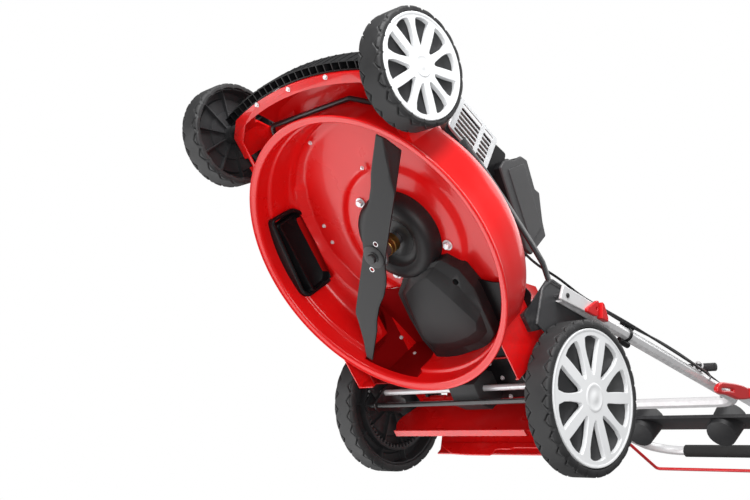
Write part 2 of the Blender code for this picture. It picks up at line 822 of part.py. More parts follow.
def make_deck():
    """The pressed deck: bowl, bowed front apron, rear skirts and discharge tunnel in one shell."""
    top, shoulder, foot = bowl_profile(SHEET)
    flange_top = DECK_BOTTOM + RIM_FLANGE_T
    profile = [
        (0, DECK_TOP), top, shoulder, (foot[0], flange_top), (RIM_FLANGE_R, flange_top),
        (RIM_FLANGE_R, DECK_BOTTOM), (0, DECK_BOTTOM),
    ]
    deck = turned("deck_housing", profile, (0, DECK_Y, 0), steps=BOWL_STEPS, closed=False)
    outer = front_outline(APRON_X, APRON_ARC_R, APRON_BACK_Y, APRON_CORNER)
    join(deck, apron_loft("apron", outer, APRON_BOTTOM, APRON_TOP))
    skirt_top = DECK_TOP - SKIRT_STEP
    join(deck, box("skirts", (-SKIRT_X, SKIRT_FRONT_Y, flange_top), (SKIRT_X, SKIRT_BACK_Y, skirt_top)))
    join(deck, prism("tunnel", tunnel_side(0.0), -TUNNEL_X, TUNNEL_X, "YZ"))

    cut(deck, bowl_solid("bowl_space", 0.0, BELOW_DECK))
    inner = front_outline(APRON_X - SHEET, APRON_ARC_R - SHEET, APRON_BACK_Y + SHEET, APRON_CORNER)
    pocket = apron_loft("apron_pocket", inner, APRON_BOTTOM + SHEET, APRON_TOP - SHEET)
    cut(deck, cut(pocket, bowl_solid("pocket_core", SHEET, BELOW_DECK)))
    mouth_outline = front_outline(
        APRON_X - APRON_FLANGE, APRON_ARC_R - APRON_FLANGE, APRON_BACK_Y + 2 * SHEET, APRON_CORNER
    )
    mouth = loft(
        "apron_mouth",
        [level(mouth_outline, 2 * BELOW_DECK), level(mouth_outline, APRON_BOTTOM + 2 * SHEET)],
    )
    cut(deck, cut(mouth, bowl_solid("mouth_core", SHEET, BELOW_DECK)))
    hollow = box(
        "skirt_hollow",
        (-SKIRT_X + SHEET, SKIRT_FRONT_Y + SHEET, BELOW_DECK + 0.01),
        (SKIRT_X - SHEET, SKIRT_BACK_Y - SHEET, skirt_top - SHEET),
    )
    cut(deck, cut(hollow, bowl_solid("hollow_core", SHEET, BELOW_DECK)))
    cut(deck, prism("tunnel_space", tunnel_side(SHEET), -TUNNEL_X + SHEET, TUNNEL_X - SHEET, "YZ"))
    cut(deck, rod("crank_hole", (0, DECK_Y, SHOULDER_Z), (0, DECK_Y, DECK_TOP + 0.01), CRANK_HOLE_R, 24))
    window = box(
        "chute_window",
        (CHUTE_WINDOW[0], CHUTE_WINDOW_Y[0], SHOULDER_Z + 0.004),
        (CHUTE_WINDOW[1], CHUTE_WINDOW_Y[1], DECK_TOP + 0.004),
    )
    cut(deck, window)
    port = box(
        "side_port",
        (-BOWL_R - 0.02, SIDE_PORT_Y[0], SIDE_PORT_Z[0]),
        (-BOWL_R + 0.06, SIDE_PORT_Y[1], SIDE_PORT_Z[1]),
    )
    cut(deck, port)
    slot_half = PULLEY_FLANGE_R + 0.010
    belt_slot = box(
        "belt_slot",
        (GEAR_PULLEY_X - slot_half - 0.012, -0.150, PULLEY_Z - 0.004),
        (GEAR_PULLEY_X + slot_half - 0.006, -0.085, PULLEY_Z + PULLEY_H + 0.004),
    )
    cut(deck, belt_slot)
    for i, angle in enumerate(ENGINE_BOLT_ANGLES):
        x, y = engine_bolt_place(angle)
        cut(deck, rod("bolt_hole_%d" % i, (x, y, 0.15), (x, y, 0.19), 0.0045, 12))
    lever_gap = 0.004
    slot = box(
        "lever_slot",
        (LEVER_X[0] - lever_gap, FRONT_PIVOT_Y - 0.075, FRONT_PIVOT_Z + 0.003),
        (LEVER_X[1] + lever_gap, FRONT_PIVOT_Y + 0.062, DECK_TOP + 0.02),
    )
    cut(deck, slot)
    for side in (1, -1):
        x0, x1 = sorted((side * (APRON_X - 0.010), side * (APRON_X + 0.010)))
        notch = box(
            "rod_notch_%d" % side,
            (x0, FRONT_PIVOT_Y - 0.009, BELOW_DECK),
            (x1, FRONT_PIVOT_Y + 0.009, FRONT_PIVOT_Z + 0.009),
        )
        cut(deck, notch)
    join_saddles(deck)
    join_hinge_ears(deck)
    return paint(deck, RED, 0.22)


def apron_loft(name, outline, low, high):
    """The apron's body: upright to its lip, then drawn in towards the engine's platform."""
    raised = [(x * APRON_DRAW, y + APRON_RAKE) for x, y in outline]
    return loft(name, [level(outline, low), level(outline, APRON_LIP_TOP), level(raised, high)])


def tunnel_side(inset):
    """The discharge tunnel's side view as (y, z): a ramp, a crest and an open back."""
    low = DECK_TOP - 0.001 if inset == 0 else DECK_TOP + 0.0005
    back = TUNNEL_BACK_Y if inset == 0 else TUNNEL_BACK_Y + 0.01
    return [
        (TUNNEL_RAMP_Y + inset * 3, low),
        (back, low),
        (back, TUNNEL_TOP - inset),
        (TUNNEL_CREST_Y + inset * 0.5, TUNNEL_TOP - inset),
    ]


def engine_bolt_place(angle):
    a = math.radians(angle)
    return ENGINE_BOLT_CIRCLE * math.cos(a), DECK_Y + ENGINE_BOLT_CIRCLE * math.sin(a)


def make_bumper():
    """The black front bumper: a bowed band with upright ribs."""
    half = math.degrees(math.asin(BUMPER_X / BUMPER_ARC_R))
    count = BUMPER_RIBS * 2
    front = []
    for i in range(count + 1):
        radius = BUMPER_ARC_R - (BUMPER_RIB_D if i % 2 else 0)
        angle = math.radians(-90 - half + 2 * half * i / count)
        front.append((radius * math.cos(angle), FRONT_ARC_Y + radius * math.sin(angle)))
    back_half = math.degrees(math.asin((BUMPER_X - 0.004) / APRON_ARC_R))
    back = arc(0, FRONT_ARC_Y, APRON_ARC_R + GAP * 2, -90 + back_half, -90 - back_half, 16)
    obj = prism("front_bumper", front + back, BUMPER_Z[0], BUMPER_Z[1])
    return paint(obj, BLACK, 0.6)


def make_side_door():
    """The black plug in the side discharge port: a flat cover with a block that fills the port."""
    y0, y1 = SIDE_PORT_Y[0] + DOOR_GAP, SIDE_PORT_Y[1] - DOOR_GAP
    z0, z1 = SIDE_PORT_Z[0] + DOOR_GAP, SIDE_PORT_Z[1] - DOOR_GAP
    inner_x = DOOR_DEPTH - BOWL_R
    outer_x = DOOR_REACH - BOWL_R
    obj = prism("side_door", rounded_box(y0, y1, z0, z1, DOOR_CORNER), outer_x, inner_x, "YZ")
    low, high = SIDE_PORT_Z
    outside, inside = BOWL_R + SHEET, BOWL_R + SHEET - DOOR_FACE_T
    curved = turned(
        "door_face",
        [(outside, high), (outside, low), (inside, low), (inside, high)],
        (0, DECK_Y, 0),
        steps=BOWL_STEPS,
    )
    keep = box("door_keep", (-outside - DOOR_DEPTH, y0, z0), (DOOR_DEPTH * 2 - outside, y1, z1))
    mod = curved.modifiers.new("keep", "BOOLEAN")
    mod.operation = "INTERSECT"
    mod.object = as_cutter(keep)
    join(obj, curved)
    y0, y1, z0, z1 = y0 + DOOR_WALL, y1 - DOOR_WALL, z0 + DOOR_WALL, z1 - DOOR_WALL
    hollow = box("door_hollow", (outer_x + DOOR_FACE_T / 2, y0, z0), (inner_x + DOOR_DEPTH, y1, z1))
    cut(obj, hollow)
    return paint(obj, BLACK, 0.4)


def make_belt_guard():
    """The black cover below the belt: a dome round the crank and a body out to the rear wall."""
    body = [
        (0.078, DECK_Y + 0.085), (0.122, -0.205), (0.092, -0.168), (0.010, -0.152),
        (-0.060, -0.172), (-0.100, -0.235), (-0.082, DECK_Y + 0.060),
    ]
    outer = [(x, y) for x, y in guard_plan(body, GUARD_DOME_R)]
    inner = [(x, y) for x, y in guard_plan(shrink(body, 0.0028), GUARD_DOME_R - GUARD_T)]
    top = CEILING_Z - GAP
    lower = shrink(outer, GUARD_BEVEL)
    obj = loft(
        "belt_guard",
        [level(lower, GUARD_FLOOR), level(outer, GUARD_FLOOR + GUARD_STEP), level(outer, top)],
    )
    space = loft(
        "guard_space",
        [
            level(shrink(inner, GUARD_BEVEL), GUARD_FLOOR + GUARD_T),
            level(inner, GUARD_FLOOR + GUARD_STEP + 0.001),
            level(inner, top + GUARD_STEP),
        ],
    )
    cut(obj, space)
    cut(obj, rod("guard_bore", (0, DECK_Y, 0.10), (0, DECK_Y, 0.14), COLLAR_R + 0.004, 24))
    belt_way = box("guard_way", (-0.012, -0.20, PULLEY_Z - 0.003), (0.090, -0.12, top + 0.01))
    cut(obj, belt_way)
    return paint(obj, BLACK, 0.35)


def guard_plan(body, dome_r):
    """The guard's plan: the dome's arc on the crank side, then the body's corners."""
    start = math.degrees(math.atan2(body[-1][1] - DECK_Y, body[-1][0])) + 8
    end = 360 + math.degrees(math.atan2(body[0][1] - DECK_Y, body[0][0])) - 8
    return arc(0, DECK_Y, dome_r, start, end, 14) + body


def shrink(outline, amount):
    """An outline drawn in by a constant amount."""
    count = len(outline)
    out = []
    for i in range(count):
        before = Vector((*outline[i - 1], 0))
        here = Vector((*outline[i], 0))
        after = Vector((*outline[(i + 1) % count], 0))
        first = (here - before).normalized()
        second = (after - here).normalized()
        normal = (Vector((-first.y, first.x, 0)) + Vector((-second.y, second.x, 0))).normalized()
        spread = max(0.4, normal.dot(Vector((-first.y, first.x, 0))))
        moved = here + normal * (amount / spread)
        out.append((moved.x, moved.y))
    return out


def make_crank():
    """The crankshaft's output end with its collar and the blade carrier."""
    top = DECK_TOP + 0.040
    foot = BLADE_Z + BLADE_T + GAP
    profile = [
        (0, top),
        (CRANK_R, top),
        (CRANK_R, PULLEY_Z - GAP),
        (COLLAR_R, PULLEY_Z - GAP),
        (COLLAR_R, foot + CARRIER_H),
        (CARRIER_R, foot + CARRIER_H - 0.002),
        (CARRIER_R, foot),
        (0, foot),
    ]
    obj = turned("crankshaft", profile, (0, DECK_Y, 0), steps=20, closed=False)
    return paint(obj, STEEL, 0.35, 0.9)


def pulley_profile(bore):
    """A flanged pulley's section from its bore outwards."""
    low = PULLEY_Z
    high = PULLEY_Z + PULLEY_H
    lip = PULLEY_FLANGE_T
    return [
        (bore, high),
        (PULLEY_FLANGE_R, high),
        (PULLEY_FLANGE_R, high - lip),
        (PULLEY_GROOVE_R, high - lip),
        (PULLEY_GROOVE_R, low + lip),
        (PULLEY_FLANGE_R, low + lip),
        (PULLEY_FLANGE_R, low),
        (bore, low),
    ]


def make_pulleys():
    """The crank's pulley, and the gearbox's pulley on its own short shaft."""
    obj = turned("crank_pulley", pulley_profile(CRANK_R + PIN_FIT), (0, DECK_Y, 0), steps=20)
    paint(obj, STEEL, 0.4, 0.8)
    centre = (GEAR_PULLEY_X, GEAR_PULLEY_Y, 0)
    solid = [(0, PULLEY_Z + PULLEY_H)] + pulley_profile(0)[1:-1] + [
        (INPUT_R, PULLEY_Z), (INPUT_R, INPUT_FOOT_Z), (0, INPUT_FOOT_Z),
    ]
    obj = turned("gearbox_pulley", solid, centre, steps=20, closed=False)
    paint(obj, STEEL, 0.4, 0.8)


def make_belt():
    """The drive belt round both pulleys, as an outline with its own inside cut out."""
    dx = GEAR_PULLEY_X
    dy = GEAR_PULLEY_Y - DECK_Y
    facing = math.degrees(math.atan2(dy, dx))
    inner_r = PULLEY_GROOVE_R + 0.0006
    outer_r = inner_r + BELT_T
    rings = []
    for radius in (outer_r, inner_r):
        far = arc(GEAR_PULLEY_X, GEAR_PULLEY_Y, radius, facing - 90, facing + 90, BELT_SIDES)
        near = arc(0, DECK_Y, radius, facing + 90, facing + 270, BELT_SIDES)
        rings.append(far + near)
    low = PULLEY_Z + PULLEY_FLANGE_T + GAP
    high = PULLEY_Z + PULLEY_H - PULLEY_FLANGE_T - GAP
    obj = prism("drive_belt", rings[0], low, high, "XY", [rings[1]])
    return paint(obj, BLACK, 0.8)


def make_blade():
    """The cutting blade: wide tips with raised rear wings, a narrower middle and its bolt holes."""
    half = BLADE_L / 2
    tip = half - BLADE_TIP_L
    neck = BLADE_NECK_W / 2
    wide = BLADE_W / 2
    lift = 0.010
    sections = []
    for x, w, raise_by in (
        (-half, wide, lift), (-tip, wide, lift), (-tip + 0.035, neck, 0),
        (tip - 0.035, neck, 0), (tip, wide, lift), (half, wide, lift),
    ):
        swap = 1 if x > 0 else -1
        wing = [(-w, 0), (w * 0.45, 0), (w, raise_by)]
        low = [(x, swap * y, BLADE_Z + z) for y, z in wing]
        high = [(x, swap * y, BLADE_Z + BLADE_T + z) for y, z in reversed(wing)]
        ring = low + high
        if swap < 0:
            ring = [ring[2], ring[1], ring[0], ring[5], ring[4], ring[3]]
        sections.append(ring)
    obj = loft("blade", sections)
    obj.matrix_basis = Matrix.Translation((0, DECK_Y, 0)) @ Matrix.Rotation(BLADE_ANGLE, 4, "Z")
    cut(obj, rod("blade_bore", (0, DECK_Y, 0.05), (0, DECK_Y, 0.08), BLADE_BOLT_R + PIN_FIT, 16))
    return paint(obj, DARK_GREY, 0.45, 0.5)


def make_blade_bolt():
    """The blade's hex bolt and washer, below the carrier."""
    washer_t = 0.003
    head = 0.007
    centre = (0, DECK_Y, 0)
    top = BLADE_Z - GAP
    profile = [
        (0, BLADE_Z + BLADE_T),
        (BLADE_BOLT_R, BLADE_Z + BLADE_T),
        (BLADE_BOLT_R, top),
        (0.018, top),
        (0.018, top - washer_t),
        (0.0085, top - washer_t),
        (0.0085, top - washer_t - head),
        (0, top - washer_t - head),
    ]
    obj = turned("blade_bolt", profile, centre, steps=12, closed=False)
    return paint(obj, STEEL, 0.35, 0.8)


def make_gearbox():
    """The worm gearbox on the drive shaft, with its upright input shaft."""
    outline = [
        (DRIVE_Y - 0.024, 0.074), (DRIVE_Y + 0.020, 0.070), (DRIVE_Y + 0.044, 0.090),
        (DRIVE_Y + 0.044, 0.126), (DRIVE_Y + 0.030, PULLEY_Z - 0.001), (DRIVE_Y - 0.010, PULLEY_Z - 0.001),
        (DRIVE_Y - 0.026, 0.118),
    ]
    hole = ring_points(DRIVE_R + PIN_FIT, 16, DRIVE_Y, DRIVE_Z)
    obj = prism("gearbox", outline, GEAR_PULLEY_X - 0.033, GEAR_PULLEY_X + 0.033, "YZ", [hole])
    seat = rod(
        "input_bore",
        (GEAR_PULLEY_X, GEAR_PULLEY_Y, INPUT_FOOT_Z - GAP),
        (GEAR_PULLEY_X, GEAR_PULLEY_Y, PULLEY_Z + PULLEY_H),
        INPUT_R + PIN_FIT,
        16,
    )
    cut(obj, seat)
    return paint(obj, (0.30, 0.31, 0.32), 0.5, 0.6)


def make_front_axle():
    """The bent front rod with its two crank arms, stub axles and height lever."""
    low, high = FRONT_ARM_X
    y, z = FRONT_PIVOT_Y, FRONT_PIVOT_Z
    corners = [
        (-low - 0.001, y, z), (-0.160, y, z), (-0.149, FRONT_ROD_OUT_Y, z - 0.002),
        (0.071, FRONT_ROD_OUT_Y, z - 0.002), (0.160, y, z), (low + 0.001, y, z),
    ]
    obj = tube("front_axle", fillet_path(corners, 0.010, 3), FRONT_ROD_R, 2)
    for side in (1, -1):
        x0, x1 = sorted((side * low, side * high))
        arm = prism(
            "front_arm%d" % side,
            hull_outline([(y, z), (FRONT_HUB.y, FRONT_HUB.z)], [0.013, 0.011]),
            x0,
            x1,
            "YZ",
        )
        join(obj, arm)
        end = side * (FRONT_FACE_X - RIM_SETBACK - CAP_T - RIM_RECESS)
        foot = (side * (low + 0.001), *FRONT_HUB.yz)
        stub = rod("front_stub%d" % side, foot, (end, *FRONT_HUB.yz), AXLE_PIN_R, 16)
        join(obj, stub)
    join(obj, height_lever("height_lever_front", FRONT_PIVOT, FRONT_ROD_R, FRONT_LEVER_L))
    pivot_at(obj, FRONT_PIVOT)
    return paint(obj, BLACK, 0.4, 0.3)


def height_lever(name, pivot, bore, length, grip=None):
    """A flat height lever that rises from an axle's pivot, with a round knob."""
    x0, x1 = LEVER_X
    tip = Vector(pivot) + Vector((0, 0, length))
    centres = [(pivot.y, pivot.z), (tip.y, tip.z)]
    radii = [LEVER_FOOT_R, 0.008]
    holes = [ring_points(bore, 16, pivot.y, pivot.z)]
    if grip:
        centres.append(grip)
        radii.append(CROSS_ROD_R + 0.005)
        holes.append(ring_points(CROSS_ROD_R + PIN_FIT, 16, *grip))
    lever = prism(name, hull_outline(centres, radii, 5), x0, x1, "YZ", holes if grip else [])
    profile = [(0, 0.040), (0.010, 0.038), (0.015, 0.026), (0.012, 0.008), (0.009, 0), (0, 0)]
    knob = turned(name + "_knob", profile, ((x0 + x1) / 2, tip.y, tip.z - 0.004), steps=12, closed=False)
    join(lever, knob)
    return lever


def make_rear_lever():
    """The rear height lever: on the drive shaft, with its foot round the cross rod."""
    lever = height_lever(
        "height_lever_rear", DRIVE_AXIS, DRIVE_R + PIN_FIT, LEVER_L, (CROSS_ROD_Y, CROSS_ROD_Z)
    )
    pivot_at(lever, DRIVE_AXIS)
    return paint(lever, BLACK, 0.4, 0.3)


# Handle brackets, rails and rear covers


def make_brackets():
    """Bracket plates for the handle with a raised rim, and the curved rails that run forward."""
    low, high = BRACKET_X
    for side, word in ((1, "left"), (-1, "right")):
        plate_y = [
            handle_point(0, -0.030, 0.022), handle_point(0, LOCK_S + 0.028, 0.022),
            handle_point(0, LOCK_S + 0.028, -0.022), handle_point(0, 0.055, -0.030),
        ]
        outline = [(p.y, p.z) for p in plate_y]
        foot = [(PIVOT_Y + 0.012, SKIRT_FOOT_Z), (PIVOT_Y - 0.024, SKIRT_FOOT_Z)]
        outline = outline + foot
        x0, x1 = sorted((side * low, side * high))
        obj = prism("handle_bracket_" + word, outline, x0, x1, "YZ")
        rim_x0, rim_x1 = sorted((side * (low + 0.001), side * (high + 0.004)))
        upper = handle_point(0, -0.030, 0.022)
        far = handle_point(0, LOCK_S + 0.028, 0.022)
        lip = [
            (upper.y, upper.z), (far.y, far.z),
            *[(p.y, p.z) for p in (handle_point(0, LOCK_S + 0.028, 0.0195), handle_point(0, -0.030, 0.0195))],
        ]
        join(obj, prism("bracket_rim", lip, rim_x0, rim_x1, "YZ"))
        foot_x0, foot_x1 = sorted((side * (SKIRT_X + GAP), side * (low + 0.001)))
        foot_low = (foot_x0, PIVOT_Y - 0.024, SKIRT_FOOT_Z)
        join(obj, box("bracket_foot", foot_low, (foot_x1, PIVOT_Y + 0.012, SKIRT_FOOT_Z + 0.024)))
        strip = list(RAIL_LINE) + [(y, z - RAIL_W) for y, z in reversed(RAIL_LINE)]
        r0, r1 = sorted((side * (low - 0.0025), side * (low + 0.0010)))
        join(obj, prism("side_rail", strip, r0, r1, "YZ"))
        f0, f1 = sorted((side * 0.170, side * (low - 0.001)))
        y0, z0 = RAIL_LINE[0]
        join(obj, box("rail_foot", (f0, y0 - 0.012, DECK_TOP + GAP), (f1, y0 + 0.014, DECK_TOP + 0.0035)))
        p0, p1 = (f1 - 0.002, f1) if side > 0 else (f0, f0 + 0.002)
        join(obj, box("rail_post", (p0, y0 - 0.012, DECK_TOP + GAP), (p1, y0 + 0.014, z0 + 0.001)))
        join_studs(obj, side)
        paint(obj, BLACK, 0.4, 0.2)


def make_rear_flap():
    """The sprung rear flap with a raised grip, hung on a pin along the tunnel's top edge."""
    hy, hz = FLAP_HINGE
    fy, fz = FLAP_FOOT
    t = 0.003
    side_view = [
        (hy + 0.006, hz - 0.002), (hy + 0.030, hz + 0.001), (fy, fz + 0.010), (fy, fz - 0.004),
        (fy - t, fz - 0.004), (fy - t, fz + 0.008), (hy + 0.029, hz - t), (hy + 0.006, hz - 0.006),
    ]
    obj = prism("rear_flap", side_view, -FLAP_X, FLAP_X, "YZ")
    eye = ring_points(0.0070, 10, hy, hz)
    for x in (-0.140, -0.020, 0.100):
        join(obj, prism("flap_eye", eye, x, x + 0.040, "YZ"))
    along = Vector((0, fy - hy - 0.030, fz + 0.010 - hz)).normalized()
    normal = Vector((0, -along.z, along.y))
    start = Vector((0, hy + 0.030, hz)) + along * 0.070
    end = start + along * 0.055
    grip = [start, start + along * 0.010 + normal * 0.014, end - along * 0.006 + normal * 0.014, end]
    ring = [(p.y, p.z) for p in grip] + [(end.y, end.z - 0.002), (start.y, start.z - 0.002)]
    join(obj, prism("flap_grip", ring, -0.060, 0.060, "YZ"))
    join(obj, rod("flap_pin", (-FLAP_X - 0.005, hy, hz), (FLAP_X + 0.005, hy, hz), FLAP_PIN_R, 12))
    pivot_at(obj, (0, hy, hz))
    return paint(obj, RED, 0.25)


def join_hinge_ears(deck):
    """The ears on the tunnel and the deck's back that hold the flap's and the shield's pins."""
    hy, hz = FLAP_HINGE
    for side in (1, -1):
        x0, x1 = sorted((side * (TUNNEL_X - 0.001), side * (TUNNEL_X + 0.0022)))
        outline = [
            (hy - 0.030, TUNNEL_TOP - 0.030), (hy - 0.0075, TUNNEL_TOP - 0.030), (hy + 0.008, hz - 0.004),
            (hy + 0.006, hz + 0.007), (hy - 0.006, hz + 0.008), (hy - 0.030, TUNNEL_TOP - 0.004),
        ]
        hole = ring_points(FLAP_PIN_R + PIN_FIT, 12, hy, hz)
        join(deck, prism("flap_ear_%d" % side, outline, x0, x1, "YZ", [hole]))
    hy, hz = SHIELD_HINGE
    for side in (1, -1):
        x0, x1 = sorted((side * (SHIELD_X + 0.0005), side * (SHIELD_X + 0.0035)))
        outline = [
            (SKIRT_BACK_Y - 0.003, hz - 0.024), (hy, hz - 0.010), (hy + 0.008, hz - 0.006),
            (hy + 0.008, hz + 0.008), (SKIRT_BACK_Y + 0.030, hz + 0.010), (SKIRT_BACK_Y - 0.003, hz - 0.006),
        ]
        hole = ring_points(SHIELD_PIN_R + PIN_FIT, 12, hy, hz)
        join(deck, prism("shield_ear_%d" % side, outline, x0, x1, "YZ", [hole]))


def make_trailing_shield():
    """The red shield that hangs behind the deck, its foot turned forward into a lip."""
    hy, hz = SHIELD_HINGE
    t = 0.003
    foot = SHIELD_FOOT_Z
    side_view = [
        (hy + 0.0005, hz - 0.002), (hy + 0.010, foot + 0.006), (hy - 0.004, foot + 0.003), (hy - 0.004, foot),
        (hy + 0.013, foot), (hy + 0.0040, hz - 0.002),
    ]
    obj = prism("trailing_shield", side_view, -SHIELD_X, SHIELD_X, "YZ")
    eye = ring_points(0.0060, 10, hy, hz)
    for x in (-0.150, 0.110):
        join(obj, prism("shield_eye", eye, x, x + 0.040, "YZ"))
    reach = SHIELD_X + 0.0035
    join(obj, rod("shield_pin", (-reach, hy, hz), (reach, hy, hz), SHIELD_PIN_R, 12))
    pivot_at(obj, (0, hy, hz))
    return paint(obj, RED, 0.3)


# Engine


def make_engine_block():
    """Crankcase, mounting flange and finned cylinder of the upright-shaft engine."""
    base = DECK_TOP + GAP
    case = [
        (0, CASE_TOP), (CASE_R - 0.010, CASE_TOP), (CASE_R, CASE_TOP - 0.010), (CASE_R, base + 0.024),
        (ENGINE_BASE_R, base + ENGINE_BASE_T), (ENGINE_BASE_R, base), (0, base),
    ]
    obj = turned("engine_block", case, (0, DECK_Y, 0), steps=24, closed=False)
    core = box("cylinder_core", (-0.036, -0.545, 0.196), (0.036, DECK_Y, 0.2515))
    join(obj, core)
    for i in range(FIN_COUNT):
        y = FIN_START_Y - i * FIN_STEP
        join(obj, box("fin_%d" % i, (-0.054, y - 0.0025, 0.188), (0.054, y, 0.2535)))
    cut(obj, rod("crank_bore", (0, DECK_Y, 0.10), (0, DECK_Y, DECK_TOP + 0.0403), CRANK_R + PIN_FIT, 24))
    join(obj, rod("oil_filler", OIL_FILLER[0], OIL_FILLER[1], OIL_FILLER_R, 12))
    for i, angle in enumerate(ENGINE_BOLT_ANGLES):
        x, y = engine_bolt_place(angle)
        cut(obj, rod("base_hole_%d" % i, (x, y, 0.15), (x, y, base + 0.020), 0.0042, 12))
    return paint(obj, (0.34, 0.35, 0.36), 0.55, 0.7)


def make_engine_bolts():
    """The three engine bolts, up through the deck into the mounting flange."""
    head = CEILING_Z - GAP
    profile = [
        (0, DECK_TOP + 0.018), (0.0039, DECK_TOP + 0.018), (0.0039, head), (0.0085, head),
        (0.0085, head - 0.0017), (0.0062, head - 0.0017), (0.0062, head - 0.0077), (0, head - 0.0077),
    ]
    for i, angle in enumerate(ENGINE_BOLT_ANGLES):
        x, y = engine_bolt_place(angle)
        bolt = turned("engine_bolt_%d" % (i + 1), profile, (x, y, 0), steps=8, closed=False)
        paint(bolt, STEEL, 0.3, 0.9)


def make_shroud():
    """The black blower housing over the crankcase, rounded in plan and drawn in at the top."""
    plans = [
        (CASE_TOP + GAP, BLOWER_X, 0.030), (0.330, BLOWER_X, 0.034), (0.358, BLOWER_X - 0.006, 0.036),
        (SHROUD_TOP, BLOWER_X - 0.016, 0.040),
    ]
    sections = []
    for z, half, radius in plans:
        grow = half - BLOWER_X
        sections.append(level(rounded_box(-half, half, BLOWER_Y[0] - grow, BLOWER_Y[1] + grow, radius, 4), z))
    obj = loft("blower_housing", sections)
    return paint(obj, BLACK, 0.35)


def make_starter():
    """The round recoil starter cover on top, with a ring of cooling slots."""
    low = SHROUD_TOP + GAP
    profile = [
        (0, STARTER_TOP), (0.030, STARTER_TOP), (0.034, STARTER_TOP - 0.004), (0.070, STARTER_TOP - 0.010),
        (STARTER_R, STARTER_TOP - 0.024), (STARTER_R, low), (0, low),
    ]
    obj = turned("recoil_starter", profile, (0, DECK_Y - 0.012, 0), steps=24, closed=False)
    for i in range(STARTER_SLOTS):
        a = 2 * math.pi * i / STARTER_SLOTS
        slot_low = (0.042, -0.0035, STARTER_TOP - 0.012)
        slot = box("starter_slot_%d" % i, slot_low, (0.066, 0.0035, STARTER_TOP + 0.002))
        slot.matrix_basis = (
            Matrix.Translation((0, DECK_Y - 0.012, 0)) @ Matrix.Rotation(a, 4, "Z") @ slot.matrix_basis
        )
        cut(obj, slot)
    return paint(obj, BLACK, 0.45)


def make_tank():
    """The fuel tank behind the blower housing, with its neck."""
    sections = []
    for z, inset in ((0.262, 0.010), (0.272, 0.0), (0.338, 0.0), (0.350, 0.012)):
        front = BLOWER_Y[1] + GAP
        outline = rounded_box(-BLOWER_X + inset, BLOWER_X - inset, front, -0.196 - inset, 0.020, 3)
        sections.append(level(outline, z))
    obj = loft("fuel_tank", sections)
    join(obj, rod("tank_neck", (*TANK_NECK, 0.345), (*TANK_NECK, 0.360), 0.018, 20))
    paint(obj, BLACK, 0.5)
    cap = turned(
        "fuel_cap",
        [(0, 0.381), (0.023, 0.380), (0.0265, 0.375), (0.0265, 0.3603), (0, 0.3603)],
        (*TANK_NECK, 0),
        steps=20,
        closed=False,
    )
    return paint(cap, BLACK, 0.5)


def make_oil_cap():
    """The dipstick cap on the filler tube beside the crankcase."""
    foot, mouth = Vector(OIL_FILLER[0]), Vector(OIL_FILLER[1])
    axis = (mouth - foot).normalized()
    profile = [(0, 0.017), (0.013, 0.015), (0.016, 0.010), (0.016, GAP), (0, GAP)]
    cap = turned("oil_cap", profile, mouth, axis, 14, False)
    return paint(cap, DARK_GREY, 0.5)


def make_muffler():
    """The pressed muffler beside the cylinder and its slotted silver guard."""
    low, high = MUFFLER_X
    plan = rounded_box(-0.052, 0.052, -0.026, 0.026, 0.012, 3)
    centre = Vector((0, *MUFFLER_CENTRE))
    turned_plan = [rotate_plan(p, MUFFLER_TILT, centre) for p in plan]
    obj = prism("muffler", turned_plan, low, high - 0.001, "YZ")
    join(obj, rod("exhaust_stub", (0.0365, -0.508, 0.226), (0.128, -0.500, 0.240), 0.009, 12))
    cut(obj, box("stub_trim", (0.0, -0.56, 0.18), (0.0545, -0.45, 0.30)))
    paint(obj, (0.25, 0.24, 0.23), 0.5, 0.8)
    frame = rounded_box(-0.062, 0.062, -0.036, 0.036, 0.014, 3)
    slots = []
    for i in range(4):
        u = -0.046 + i * 0.024
        slots.append([(u, 0.010), (u + 0.018, 0.010), (u + 0.018, 0.026), (u, 0.026)])
    for i in range(7):
        u = -0.052 + i * 0.015
        slots.append([(u, -0.026), (u + 0.009, -0.026), (u + 0.009, -0.002), (u, -0.002)])
    place = [rotate_plan(p, MUFFLER_TILT, centre) for p in frame]
    holes = [[rotate_plan(p, MUFFLER_TILT, centre) for p in slot] for slot in slots]
    face = high + GUARD_STANDOFF
    guard = prism("muffler_guard", place, face, face + 0.002, "YZ", holes)
    band_line = rounded_box(-0.0605, 0.0605, -0.0345, 0.0345, 0.0125, 3)
    band_inner = [rotate_plan(p, MUFFLER_TILT, centre) for p in band_line]
    join(guard, prism("guard_band", place, high - 0.008, face + 0.001, "YZ", [band_inner]))
    for i, u in enumerate((-0.036, 0.036)):
        y, z = rotate_plan((u, 0.004), MUFFLER_TILT, centre)
        join(guard, rod("guard_post_%d" % i, (high - 0.001 + GAP, y, z), (face + 0.001, y, z), 0.004, 8))
    return paint(guard, SILVER, 0.35, 0.8)


def rotate_plan(point, angle, centre):
    u, v = point
    return (
        centre.y + u * math.cos(angle) - v * math.sin(angle),
        centre.z + u * math.sin(angle) + v * math.cos(angle),
    )


